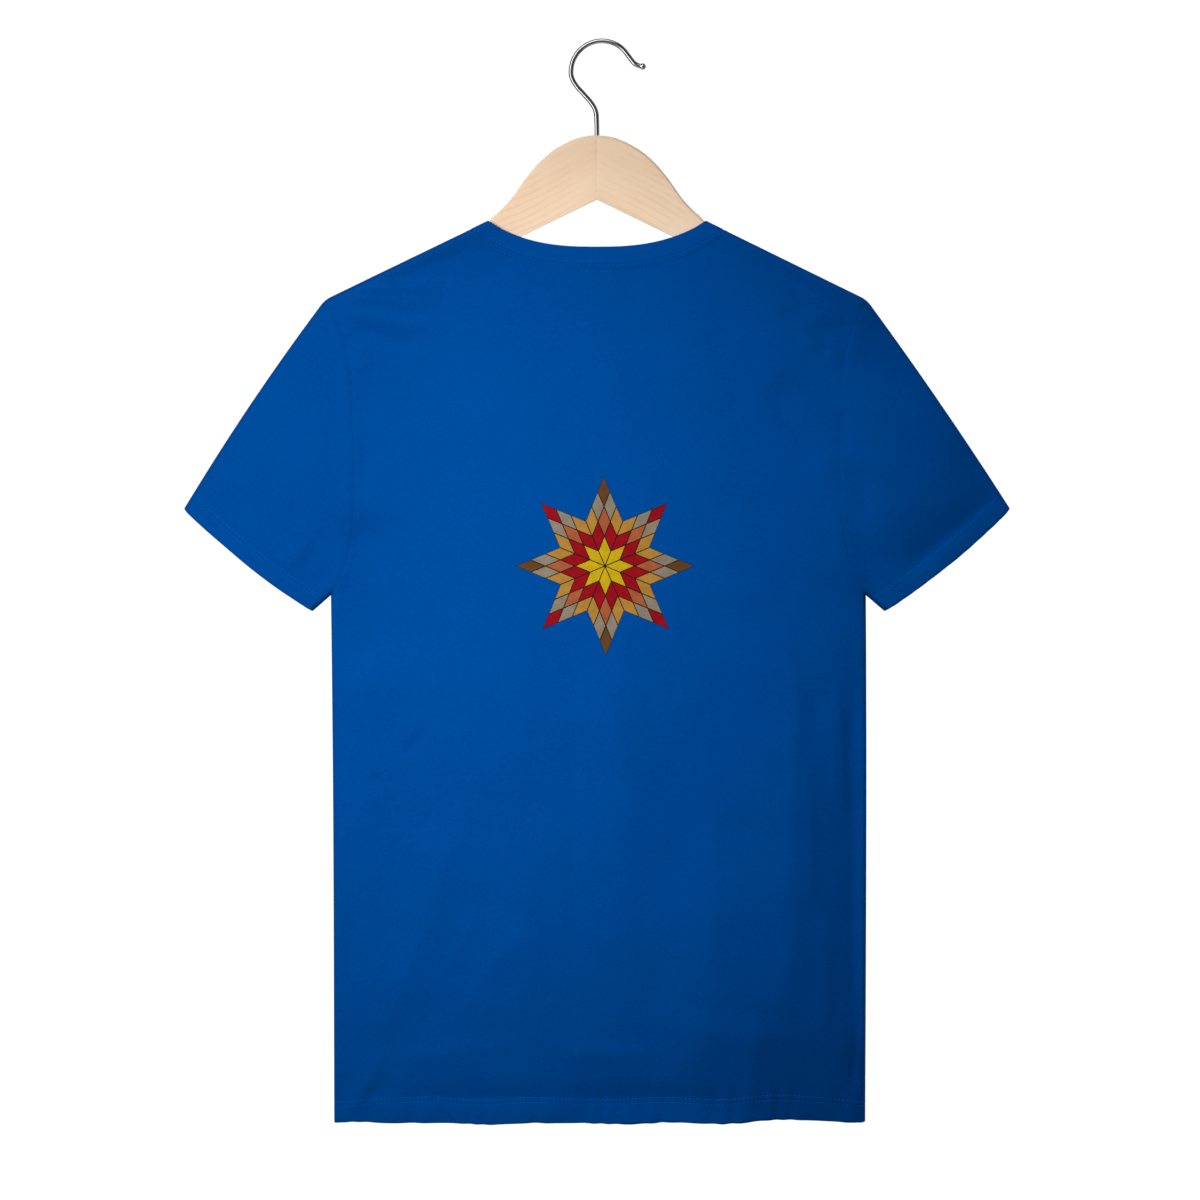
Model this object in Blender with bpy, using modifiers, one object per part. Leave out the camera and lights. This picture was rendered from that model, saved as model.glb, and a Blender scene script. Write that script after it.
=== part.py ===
"""Sports t-shirt hung on a wooden hanger with a steel hook, at its real size.

Metres, +Z up.  The origin is the inside top of the hook, where a rail holds it up.
The shirt's back faces -Y, and its left sleeve is at -X.

Every piece of cloth is a wall between an outer and an inner grid of points.  The grids
are laid out flat, as places (x, z) inside the garment's outline, and cloth_points() then
stands them off the middle plane, towards -Y for the back and +Y for the front.
"""
import math
from collections import namedtuple

import bmesh
import bpy
import numpy as np

BACK, FRONT = -1, 1              # the sides of the shirt, as the sign of Y

# The garment's outline on its right half: distance from the centre line, and height
COLLAR_CORNER = (0.0876, -0.1422)    # top of the neckband where it crosses the shoulder
NECK_POINT = (0.1008, -0.1486)       # neckband seam on the shoulder
SHOULDER_TIP = (0.2172, -0.2050)
CUFF_OUTER = (0.3304, -0.3720)
CUFF_INNER = (0.2288, -0.4542)
UNDERARM = (0.2140, -0.4412)
HALF_HEM = 0.2124
HEM_Z = -0.8624

TIP_ROUNDING = 0.006             # length of outline rounded off on each side of the tip
SLEEVE_TOP_BOW = 0.002           # the sleeve's top edge bows outward by this
CUFF_BOW = 0.0036                # and so does the cuff's line
ARMHOLE_BOW = 0.021              # the armhole seam bows in towards the body
ARMHOLE_FLATNESS = 3.5           # the higher, the straighter the seam's middle

# Necklines, by side: drop at the centre of the seam and of the band's free edge, and shape
Neckline = namedtuple("Neckline", "seam_drop edge_drop corner underarm_x")
NECKLINES = {                    # underarm_x: where the panel's column below the neck point ends
    BACK: Neckline(seam_drop=0.0288, edge_drop=0.0220, corner=2.6, underarm_x=0.106),
    FRONT: Neckline(seam_drop=0.0930, edge_drop=0.0850, corner=3.0, underarm_x=0.132),
}

# The hem's line is not quite level: places where it rides up or sags
HemWave = namedtuple("HemWave", "x width rise")
HEM_WAVES = (
    HemWave(x=-0.204, width=0.020, rise=0.0008),
    HemWave(x=-0.090, width=0.022, rise=-0.0012),
    HemWave(x=0.142, width=0.034, rise=0.0036),
)

# Thickness of the walls
JERSEY = 0.0012
HEMMED = 0.0020                  # the hem and the cuffs are turned up and doubled
NECKBAND = 0.0018
HEM_DEPTH = 0.0195
CUFF_DEPTH = 0.0145
TURN_STEP = 0.0010               # the wall thickens over this length
SEAM_GAP = 0.0003
RIB_PITCH = 0.0019
RIB_HEIGHT = 0.0004

# Depth of the hollow garment, measured from the middle plane to the cloth
EDGE_ROUNDING = 0.009            # width of the rounded fold along the outline
EDGE_DEPTH = 0.009               # depth just inside that fold, over the hanger's arms
SLEEVE_FULLNESS = 0.005
SLEEVE_MIDDLE = (0.268, -0.360)
SLEEVE_SPREAD = (0.050, 0.070)
Fullness = namedtuple("Fullness", "z back front")
FULLNESS = (                     # extra depth on the centre line
    Fullness(z=-0.900, back=0.0130, front=0.0170),
    Fullness(z=-0.780, back=0.0140, front=0.0180),
    Fullness(z=-0.620, back=0.0155, front=0.0210),
    Fullness(z=-0.420, back=0.0165, front=0.0230),
    Fullness(z=-0.260, back=0.0120, front=0.0170),
    Fullness(z=-0.130, back=0.0050, front=0.0060),
)

# The largest folds: a line down the cloth, its bow to +X, its height (a trough is less
# than 0), and how far it spreads to -X and to +X of the line
Fold = namedtuple("Fold", "x0 z0 x1 z1 bow height left right")
FOLDS = {
    BACK: (
        Fold(-0.108, -0.600, -0.198, -0.828, 0.000, 0.0040, 0.024, 0.013),
        Fold(-0.078, -0.500, -0.068, -0.818, 0.006, 0.0034, 0.026, 0.014),
        Fold(0.020, -0.445, 0.022, -0.828, 0.001, 0.0042, 0.026, 0.013),
        Fold(0.150, -0.470, 0.138, -0.790, 0.008, 0.0050, 0.032, 0.014),
        Fold(0.199, -0.460, 0.203, -0.790, 0.000, -0.0030, 0.010, 0.009),
        Fold(0.140, -0.268, 0.203, -0.392, 0.002, 0.0030, 0.010, 0.018),
        Fold(-0.191, -0.335, -0.207, -0.448, 0.003, -0.0038, 0.010, 0.014),
    ),
    FRONT: (
        Fold(0.104, -0.560, 0.176, -0.832, 0.004, 0.0042, 0.015, 0.026),
        Fold(0.046, -0.430, 0.062, -0.815, -0.005, 0.0038, 0.016, 0.028),
        Fold(-0.036, -0.480, -0.028, -0.835, 0.004, 0.0040, 0.026, 0.015),
        Fold(-0.132, -0.440, -0.122, -0.800, -0.006, 0.0048, 0.030, 0.015),
        Fold(-0.198, -0.500, -0.202, -0.800, 0.000, -0.0028, 0.009, 0.010),
        Fold(-0.150, -0.290, -0.203, -0.400, -0.002, 0.0030, 0.017, 0.011),
        Fold(0.190, -0.330, 0.207, -0.448, -0.003, -0.0036, 0.014, 0.010),
    ),
}
FOLD_FADE = 0.30                 # share of a fold's length over which each end dies out

# Fineness of the grids, in intervals
ROUNDING_STEPS = 3
NECK_COLUMNS = 6                 # centre line to the rounded fold at the neck point
SHOULDER_COLUMNS = 6             # neck point to the rounded fold
BODY_ROWS = 11                   # hem's turn to underarm
YOKE_ROWS = 8                    # between the dense rows at the underarm and shoulder
SLEEVE_RINGS = 7                 # armhole to the cuff's turn

# Hanger
WOOD_THICKNESS = 0.012
WOOD_BEVEL = 0.0025
ARM_CLEARANCE = 0.0034           # from the shoulder's outline down to the wood
ARM_END_X = 0.2060
ARM_END_DEPTH = 0.0205
WOOD_APEX_Z = -0.1254            # the notch under the hook
WOOD_UNDER_SLOPE = 0.487
# The crest over the neck opening, centre line to collar: distance out, and height
WOOD_CREST = (
    (0.0000, -0.0738),
    (0.0172, -0.0768),
    (0.0360, -0.0866),
    (0.0528, -0.1026),
    (0.0640, -0.1186),
    (0.0752, -0.1324),
    (0.0815, -0.1400),
    (0.0850, -0.1440),
)

# Hook
WIRE_RADIUS = 0.0019
HOOK_CENTRE = (0.0040, -0.02255)
HOOK_RADIUS = 0.0248             # to the middle of the wire
HOOK_FROM, HOOK_TO = 180, 30     # degrees, over the top
SHANK_END_Z = -0.1000
SHANK_BEND = (                   # the wire's middle, from the wood to the round part
    (0.0000, -0.0780),
    (-0.0002, -0.0620),
    (-0.0010, -0.0540),
    (-0.0042, -0.0478),
    (-0.0098, -0.0412),
    (-0.0160, -0.0343),
    (-0.0196, -0.0284),
)
HOOK_FLARE = (                   # from the round part to the centre of the ball end
    (0.0296, -0.0154),
    (0.0334, -0.0176),
    (0.0366, -0.0182),
)
BALL_RADIUS = 0.0025
SHANK_FIT = 0.0003

# Colours, as linear light
ROYAL_BLUE = (0.002, 0.067, 0.320)
COLLAR_BLUE = (0.002, 0.064, 0.295)
BEECH = (0.800, 0.560, 0.360)
STEEL = (0.620, 0.630, 0.640)

SNAP = 0.000001                  # a place this close to the outline is on it
SLOPE_STEP = 0.0005              # step for measuring the cloth's slope


# ---------------------------------------------------------------- helpers

def smooth_step(value):
    value = np.clip(value, 0.0, 1.0)
    return value * value * (3.0 - 2.0 * value)


def smooth_curve(value, knots, heights):
    """A smooth curve through (knot, height) pairs, for an array of values."""
    slopes = np.gradient(heights, knots)
    index = np.clip(np.searchsorted(knots, value) - 1, 0, len(knots) - 2)
    span = knots[index + 1] - knots[index]
    t = np.clip((value - knots[index]) / span, 0.0, 1.0)
    rise = heights[index + 1] - heights[index]
    ease = t * t * (3.0 - 2.0 * t)
    lead_in = t * (1.0 - t) ** 2 * span * slopes[index]
    lead_out = t * t * (t - 1.0) * span * slopes[index + 1]
    return heights[index] + rise * ease + lead_in + lead_out


def curve_through(points, steps):
    """A smooth open curve (Catmull-Rom) through points, with steps spans between each pair."""
    points = np.array(points, dtype=float)
    padded = np.vstack([2 * points[0] - points[1], points, 2 * points[-1] - points[-2]])
    curve = []
    for before, start, end, after in zip(padded, padded[1:], padded[2:], padded[3:]):
        for t in np.arange(steps) / steps:
            curve.append(0.5 * (2 * start + (end - before) * t
                                + (2 * before - 5 * start + 4 * end - after) * t ** 2
                                + (3 * start - before - 3 * end + after) * t ** 3))
    curve.append(points[-1])
    return np.array(curve)


def along_path(path, distance):
    """Places at the given distances along a path of straight spans."""
    lengths = np.concatenate([[0.0], np.cumsum(np.linalg.norm(np.diff(path, axis=0), axis=1))])
    return np.stack([np.interp(distance, lengths, path[:, axis]) for axis in range(path.shape[1])],
                    axis=-1)


def path_length(path):
    return float(np.linalg.norm(np.diff(path, axis=0), axis=1).sum())


def mix(start, end, share):
    return start + (end - start) * share


def step_towards(place, target, distance):
    """A place moved by a distance straight towards a target."""
    offset = target - place
    return place + offset * distance / np.linalg.norm(offset, axis=-1, keepdims=True)


# ---------------------------------------------------------------- the outline

def shoulder_path():
    """The panel's shoulder: from beside the neck point to the middle of the rounded tip."""
    path = upper_outline()[1:upper_tip_index() + 1]
    path[0] = step_towards(path[0], path[1], SEAM_GAP / 2)
    return path


def upper_outline():
    """The top edge: collar corner, neck point, rounded shoulder tip, cuff."""
    tip = np.array(SHOULDER_TIP)
    cuff = np.array(CUFF_OUTER)
    neck = np.array(NECK_POINT)
    first = step_towards(tip, neck, TIP_ROUNDING)
    last = step_towards(tip, cuff, TIP_ROUNDING)
    arc = [mix(mix(first, tip, t), mix(tip, last, t), t) for t in np.linspace(0.0, 1.0, 7)]
    across = cuff - last
    outward = np.array([-across[1], across[0]]) / np.linalg.norm(across)
    sleeve = [last + across * t + outward * SLEEVE_TOP_BOW * 4 * t * (1 - t)
              for t in np.linspace(0.0, 1.0, 17)[1:]]
    return np.array([COLLAR_CORNER, neck] + arc + sleeve)


def upper_tip_index():
    return 5                     # collar corner, neck point, then the middle of 7 arc places


def sleeve_top_path():
    return upper_outline()[upper_tip_index():]


def lower_outline():
    """The under edge: hem corner, underarm, cuff."""
    return np.array([(HALF_HEM, HEM_Z), UNDERARM, CUFF_INNER])


def outline_spans():
    """Start, end and inward direction of each straight span of the folded edges."""
    starts, ends, inward = [], [], []
    for path, turn in ((upper_outline(), 1), (lower_outline(), -1)):
        # The line runs on past the cuff and, at the top, past the collar's corner
        path = np.vstack([2 * path[0] - path[1], path, 2 * path[-1] - path[-2]])
        spans = np.diff(path, axis=0)
        starts.append(path[:-1])
        ends.append(path[1:])
        sideways = np.stack([spans[:, 1], -spans[:, 0]], axis=1) * turn
        inward.append(sideways / np.linalg.norm(spans, axis=1, keepdims=True))
    return np.vstack(starts), np.vstack(ends), np.vstack(inward)


def edge_distance(x, z):
    """Distance inward from the nearest folded edge, and the inward direction there."""
    starts, ends, normals = outline_spans()
    place = np.stack([np.abs(x), z], axis=-1)[..., None, :]
    spans = ends - starts
    share = ((place - starts) * spans).sum(-1) / (spans ** 2).sum(-1)
    nearest = starts + spans * np.clip(share, 0.0, 1.0)[..., None]
    offset = place - nearest
    distances = np.linalg.norm(offset, axis=-1)
    closest = distances.argmin(axis=-1)[..., None]
    distance = np.take_along_axis(distances, closest, axis=-1)
    direction = np.take_along_axis(offset, closest[..., None], axis=-2)[..., 0, :]
    direction = direction / np.maximum(distance, SNAP)
    on_edge = (distances < SNAP)[..., None] * normals
    direction = np.where(distance < SNAP, on_edge.sum(axis=-2), direction)
    direction = direction / np.maximum(np.linalg.norm(direction, axis=-1, keepdims=True), SNAP)
    distance = np.where(distance < SNAP, 0.0, distance)[..., 0]
    return distance, direction[..., 0] * np.where(x < 0, -1.0, 1.0), direction[..., 1]


# ---------------------------------------------------------------- the cloth's surface

def fold_height(fold, x, z):
    """Height that one fold adds to the cloth at places (x, z)."""
    run = np.array([fold.x1 - fold.x0, fold.z1 - fold.z0])
    length = np.linalg.norm(run)
    share = ((x - fold.x0) * run[0] + (z - fold.z0) * run[1]) / length ** 2
    sideways = ((z - fold.z0) * run[0] - (x - fold.x0) * run[1]) / length
    sideways = sideways - fold.bow * 4 * share * (1 - share)
    spread = np.where(sideways < 0, fold.left, fold.right)
    fade = smooth_step(share / FOLD_FADE) * smooth_step((1 - share) / FOLD_FADE)
    return fold.height * np.exp(-(sideways / spread) ** 2) * fade


def half_depth(x, z, side):
    """Distance from the middle plane to the cloth, inside the rounded edges."""
    knots = np.array([row.z for row in FULLNESS])
    heights = np.array([row.back if side == BACK else row.front for row in FULLNESS])
    across = np.clip(1.0 - (x / UNDERARM[0]) ** 2, 0.0, 1.0) ** 1.5
    depth = EDGE_DEPTH + across * smooth_curve(z, knots, heights)
    sleeve_x = (np.abs(x) - SLEEVE_MIDDLE[0]) / SLEEVE_SPREAD[0]
    sleeve_z = (z - SLEEVE_MIDDLE[1]) / SLEEVE_SPREAD[1]
    depth = depth + SLEEVE_FULLNESS * np.exp(-sleeve_x ** 2 - sleeve_z ** 2)
    for fold in FOLDS[side]:
        depth = depth + fold_height(fold, x, z)
    return depth


def cloth_points(places, side):
    """Points and outward normals of the cloth that stands over flat places (x, z)."""
    x, z = places[..., 0], places[..., 1]
    distance, inward_x, inward_z = edge_distance(x, z)
    depth = half_depth(x, z, side)
    slope_x = (half_depth(x + SLOPE_STEP, z, side) - half_depth(x - SLOPE_STEP, z, side))
    slope_z = (half_depth(x, z + SLOPE_STEP, side) - half_depth(x, z - SLOPE_STEP, side))
    slope_x, slope_z = slope_x / (2 * SLOPE_STEP), slope_z / (2 * SLOPE_STEP)
    level = np.minimum(distance / EDGE_ROUNDING, 1.0)
    rise = np.sqrt(1.0 - (1.0 - level) ** 2)
    lean = (1.0 - level) / EDGE_ROUNDING
    normal = np.stack([-lean * inward_x - rise ** 2 / depth * slope_x,
                       side * rise / depth,
                       -lean * inward_z - rise ** 2 / depth * slope_z], axis=-1)
    normal = normal / np.linalg.norm(normal, axis=-1, keepdims=True)
    return np.stack([x, side * depth * rise, z], axis=-1), normal


# ---------------------------------------------------------------- flat layouts

def rounding_distances():
    """Distances in from a folded edge, spaced evenly around its rounding, edge excluded."""
    angles = np.linspace(0.0, math.pi / 2, ROUNDING_STEPS + 1)[1:]
    return EDGE_ROUNDING * (1.0 - np.cos(angles))


def neck_curve(side, angle, shoulder_point, drop):
    """A neckline by angle from the centre line; at +-90 degrees it meets the shoulder."""
    shape = NECKLINES[side]
    across = np.sin(angle)
    hang = 1.0 - np.abs(across) ** shape.corner
    return np.stack([shoulder_point[0] * across, shoulder_point[1] - drop * hang], axis=-1)


def seam_curve(side, angle, away):
    """The neckband's seam, moved away from the neck opening by a distance."""
    neck = np.array(NECK_POINT)
    shoulder_point = step_towards(neck, np.array(SHOULDER_TIP), away)
    return neck_curve(side, angle, shoulder_point, NECKLINES[side].seam_drop + away)


def neck_stations(side):
    """Angle, and share of the way out, of a panel's columns from centre line to neck point."""
    angles = np.linspace(0.0, math.pi / 2, 721)
    path = seam_curve(side, angles, 0.0)
    length = path_length(path)
    dense = 1.0 - rounding_distances()[::-1] / length
    shares = np.concatenate([np.linspace(0.0, dense[0], NECK_COLUMNS + 1), dense[1:], [1.0]])
    steps = np.linalg.norm(np.diff(path, axis=0), axis=1)
    travelled = np.concatenate([[0.0], np.cumsum(steps)]) / length
    return np.interp(shares, travelled, angles), shares


def band_seam_places(side, angle):
    """The neckband's seam edge, which runs straight between the panel's columns."""
    half, _ = neck_stations(side)
    stations = np.concatenate([-half[:0:-1], half])
    path = seam_curve(side, stations, -SEAM_GAP / 2)
    return np.stack([np.interp(angle, stations, path[:, 0]),
                     np.interp(angle, stations, path[:, 1])], axis=-1)


def band_edge_places(side, angle):
    """The neckband's free edge."""
    return neck_curve(side, angle, COLLAR_CORNER, NECKLINES[side].edge_drop)


def hem_places(x):
    z = np.full_like(x, HEM_Z)
    for wave in HEM_WAVES:
        z = z + wave.rise * np.exp(-((x - wave.x) / wave.width) ** 2)
    return np.stack([x, z], axis=-1)


def armhole_shares():
    """Shares of the armhole, underarm to shoulder tip, close together near both ends."""
    height = SHOULDER_TIP[1] - UNDERARM[1]
    dense = rounding_distances() / height
    middle = np.linspace(dense[-1], 1.0 - dense[-1], YOKE_ROWS + 1)[1:-1]
    return np.concatenate([[0.0], dense, middle, 1.0 - dense[::-1], [1.0]])


def armhole_places(share):
    """The armhole seam on the +X half, from the underarm (0) to the shoulder tip (1)."""
    tip = upper_outline()[upper_tip_index()]
    straight = mix(np.array(UNDERARM), tip, share[..., None])
    inset = ARMHOLE_BOW * (1.0 - np.abs(2.0 * share - 1.0) ** ARMHOLE_FLATNESS)
    return straight - np.stack([inset, np.zeros_like(inset)], axis=-1)


def armhole_edge(away):
    """The armhole's places moved out to the sleeve (away > 0) or in to the body.

    Its two ends slide along the garment's outline instead.
    """
    shares = armhole_shares()
    places = armhole_places(shares)
    tangents = np.gradient(places, axis=0)
    normals = np.stack([tangents[:, 1], -tangents[:, 0]], axis=1)
    normals = normals / np.linalg.norm(normals, axis=1, keepdims=True)
    moved = places + away * normals
    if away > 0:
        targets = (np.array(CUFF_INNER), sleeve_top_path()[-1])
    else:
        targets = (np.array((HALF_HEM, HEM_Z)), np.array(NECK_POINT))
    for end, target in zip((0, -1), targets):
        heading = (target - places[end]) / np.linalg.norm(target - places[end])
        moved[end] = places[end] + heading * abs(away / (heading @ normals[end]))
    if away > 0:
        moved[-1] = along_path(sleeve_top_path(), np.linalg.norm(moved[-1] - places[-1]))
    return moved


def cuff_places(share):
    """The cuff's edge on the +X half, from its inner (0) to its outer corner (1)."""
    across = np.array(CUFF_OUTER) - np.array(CUFF_INNER)
    outward = np.array([across[1], -across[0]]) / np.linalg.norm(across)
    bow = CUFF_BOW * 4 * share * (1 - share)
    return np.array(CUFF_INNER) + share[..., None] * across + bow[..., None] * outward


def mirrored(right_half):
    """Both halves of a row of columns, from -X to +X, given centre line to +X."""
    left_half = right_half[..., :0:-1, :] * np.array([-1.0, 1.0])
    return np.concatenate([left_half, right_half], axis=-2)


def panel_places(side):
    """Flat grid of a front or back panel: rows from the hem up, columns from -X to +X."""
    angles, neck_shares = neck_stations(side)
    shoulder = shoulder_path()
    neck_x = NECKLINES[side].underarm_x
    room = HALF_HEM - neck_x
    dense = rounding_distances()[::-1] / room
    spread = np.linspace(0.0, 1.0 - dense[0], SHOULDER_COLUMNS + 1)[1:]
    spread = np.concatenate([spread, 1.0 - dense[1:], [1.0]])
    top = mirrored(np.vstack([seam_curve(side, angles, SEAM_GAP / 2),
                              along_path(shoulder, spread * path_length(shoulder))]))
    half_x = np.concatenate([neck_x * neck_shares, neck_x + room * spread])
    x = mirrored(np.stack([half_x, half_x], axis=-1))[:, 0]
    hem = hem_places(x)
    middle = np.stack([x * UNDERARM[0] / HALF_HEM, np.full_like(x, UNDERARM[1])], axis=-1)

    turn = np.array([0.0, 0.5, 1.0, 1.0 + TURN_STEP / HEM_DEPTH]) * HEM_DEPTH
    turn = turn / (UNDERARM[1] - HEM_Z)
    lower = np.concatenate([turn, np.linspace(turn[-1], 1.0, BODY_ROWS + 1)[1:]])
    body = mix(hem[None], middle[None], lower[:, None, None])

    shares = armhole_shares()[1:]
    straight = mix(middle[-1], top[-1], shares[:, None])
    bow = armhole_places(shares)[:, 0] - straight[:, 0]
    yoke = mix(middle[None], top[None], shares[:, None, None])
    yoke[..., 0] += bow[:, None] * (x / HALF_HEM)[None, :] ** 3
    places = np.concatenate([body, yoke])
    seam = armhole_edge(-SEAM_GAP / 2)
    places[-len(seam):, -1] = seam
    places[-len(seam):, 0] = seam * np.array([-1.0, 1.0])
    return places


def sleeve_places():
    """Flat grid of the +X sleeve: rings from the armhole out, each from underarm to top."""
    shares = armhole_shares()
    armhole = armhole_edge(SEAM_GAP / 2)
    cuff = cuff_places(shares)
    reach = np.linalg.norm(cuff - armhole, axis=-1)
    turn = 1.0 - CUFF_DEPTH / reach
    before_turn = 1.0 - (CUFF_DEPTH + TURN_STEP) / reach
    rings = [before_turn * ring / SLEEVE_RINGS for ring in range(SLEEVE_RINGS + 1)]
    rings = np.array(rings + [turn, np.ones_like(turn)])
    places = mix(armhole[None], cuff[None], rings[..., None])
    top = sleeve_top_path()
    start = np.linalg.norm(armhole[-1] - top[0])
    for ring in range(len(rings)):
        target = along_path(top, mix(start, path_length(top), rings[ring, -1]))
        places[ring] += shares[:, None] * (target - places[ring, -1])
    return places


# ---------------------------------------------------------------- objects

def make_material(name, colour, roughness, metallic=0.0):
    material = bpy.data.materials.new(name)
    material.use_nodes = True
    shader = material.node_tree.nodes["Principled BSDF"]
    shader.inputs["Base Color"].default_value = (*colour, 1.0)
    shader.inputs["Roughness"].default_value = roughness
    shader.inputs["Metallic"].default_value = metallic
    return material


def add_mesh(name, points, faces, material, collection):
    mesh = bpy.data.meshes.new(name)
    mesh.from_pydata([tuple(point) for point in points], [], faces)
    work = bmesh.new()
    work.from_mesh(mesh)
    bmesh.ops.recalc_face_normals(work, faces=work.faces)
    work.to_mesh(mesh)
    work.free()
    mesh.shade_smooth()
    mesh.set_sharp_from_angle(angle=math.radians(40))
    mesh.materials.append(material)
    piece = bpy.data.objects.new(name, mesh)
    collection.objects.link(piece)
    return piece


def add_wall(name, outer, inner, closed, material, collection):
    """A wall between two grids of points; closed joins the last column to the first."""
    rows, columns = outer.shape[:2]
    layer = rows * columns
    spans = columns if closed else columns - 1

    def corner(row, column, inside):
        return inside * layer + row * columns + column % columns

    faces = []
    for inside in (0, 1):
        for row in range(rows - 1):
            for column in range(spans):
                faces.append((corner(row, column, inside), corner(row, column + 1, inside),
                              corner(row + 1, column + 1, inside), corner(row + 1, column, inside)))
    for row in (0, rows - 1):
        for column in range(spans):
            faces.append((corner(row, column, 0), corner(row, column + 1, 0),
                          corner(row, column + 1, 1), corner(row, column, 1)))
    if not closed:
        for column in (0, columns - 1):
            for row in range(rows - 1):
                faces.append((corner(row, column, 0), corner(row + 1, column, 0),
                              corner(row + 1, column, 1), corner(row, column, 1)))
    points = np.concatenate([outer.reshape(-1, 3), inner.reshape(-1, 3)])
    return add_mesh(name, points, faces, material, collection)


def add_panel(name, side, material, collection):
    outer, normals = cloth_points(panel_places(side), side)
    outer[..., 1] += side * SEAM_GAP / 2
    rows = len(outer)
    thickness = np.where(np.arange(rows) <= 2, HEMMED, JERSEY)[:, None, None]
    return add_wall(name, outer, outer - normals * thickness, False, material, collection)


def add_sleeve(name, hand, material, collection):
    """A sleeve on the +X side (hand 1) or the -X side (hand -1)."""
    places = sleeve_places() * np.array([hand, 1.0])
    back, back_normals = cloth_points(places, BACK)
    front, front_normals = cloth_points(places, FRONT)
    outer = np.concatenate([back, front[:, -2:0:-1]], axis=1)
    normals = np.concatenate([back_normals, front_normals[:, -2:0:-1]], axis=1)
    rings = len(outer)
    thickness = np.where(np.arange(rings) >= rings - 2, HEMMED, JERSEY)[:, None, None]
    return add_wall(name, outer, outer - normals * thickness, True, material, collection)


def neckband_columns():
    """Side and angle of each column of the neckband, at half the ribs' pitch apart."""
    angles = np.linspace(-math.pi / 2, math.pi / 2, 1441)
    lengths = []
    for side in (BACK, FRONT):
        middle = (band_seam_places(side, angles) + band_edge_places(side, angles)) / 2
        points, _ = cloth_points(middle, side)
        steps = np.linalg.norm(np.diff(points, axis=0), axis=1)
        lengths.append(np.concatenate([[0.0], np.cumsum(steps)]))
    back_length, front_length = lengths[0][-1], lengths[1][-1]
    count = 2 * round((back_length + front_length) / RIB_PITCH)
    distance = np.arange(count) * (back_length + front_length) / count
    on_back = distance < back_length
    back_angle = np.interp(distance, lengths[0], angles)
    front_angle = np.interp(back_length + front_length - distance, lengths[1], angles)
    return on_back, np.where(on_back, back_angle, front_angle)


def add_neckband(name, material, collection):
    """A ribbed ring; every second column of its outer points is raised into a rib."""
    on_back, angle = neckband_columns()
    layers = []
    for side in (BACK, FRONT):
        seam = band_seam_places(side, angle)
        layers.append(cloth_points(np.stack([seam, band_edge_places(side, angle)]), side))
    chosen = on_back[None, :, None]
    points = np.where(chosen, layers[0][0], layers[1][0])
    normals = np.where(chosen, layers[0][1], layers[1][1])
    rib = np.where(np.arange(len(angle)) % 2 == 0, RIB_HEIGHT, 0.0)[None, :, None]
    inner = points - normals * NECKBAND
    return add_wall(name, points - normals * RIB_HEIGHT + normals * rib, inner, True,
                    material, collection)


def wood_outline():
    """The hanger's outline on its +X half, from the crest's centre around to the notch."""
    shoulder = np.array([COLLAR_CORNER, SHOULDER_TIP])
    lowered = shoulder - np.array([0.0, ARM_CLEARANCE])
    slope = (lowered[1, 1] - lowered[0, 1]) / (lowered[1, 0] - lowered[0, 0])
    end_z = lowered[0, 1] + slope * (ARM_END_X - lowered[0, 0])
    crest = curve_through(WOOD_CREST + (tuple(lowered[0]),), 4)
    end_centre = np.array([ARM_END_X - ARM_END_DEPTH / 2, end_z - ARM_END_DEPTH / 2])
    along = np.array([1.0, slope]) / math.hypot(1.0, slope)
    across = np.array([along[1], -along[0]])
    end = [end_centre + ARM_END_DEPTH / 2 * (along * math.sin(angle) - across * math.cos(angle))
           for angle in np.linspace(0.0, math.pi, 9)]
    knee_x = 0.13
    knee = (knee_x, WOOD_APEX_Z - WOOD_UNDER_SLOPE * knee_x)
    return np.vstack([crest, end, [knee, (0.0, WOOD_APEX_Z)]])


def add_box(name, low, high, collection):
    """A box cutter between two corners."""
    bpy.ops.mesh.primitive_cube_add(size=1.0, location=(np.array(low) + np.array(high)) / 2)
    box = bpy.context.object
    box.name = name
    box.scale = np.array(high) - np.array(low)
    bpy.ops.object.transform_apply(location=False, rotation=False, scale=True)
    return keep_as_cutter(box, collection)


def keep_as_cutter(cutter, collection):
    for owner in list(cutter.users_collection):
        owner.objects.unlink(cutter)
    collection.objects.link(cutter)
    cutter.hide_render = True
    cutter.display_type = "WIRE"
    return cutter


def add_shank_cutter(name, collection):
    top_z, bottom_z = WOOD_CREST[0][1] + 0.01, SHANK_END_Z - SHANK_FIT
    bpy.ops.mesh.primitive_cylinder_add(vertices=24, radius=WIRE_RADIUS + SHANK_FIT,
                                        depth=top_z - bottom_z,
                                        location=(0.0, 0.0, (top_z + bottom_z) / 2))
    cutter = bpy.context.object
    cutter.name = name
    return keep_as_cutter(cutter, collection)


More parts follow.
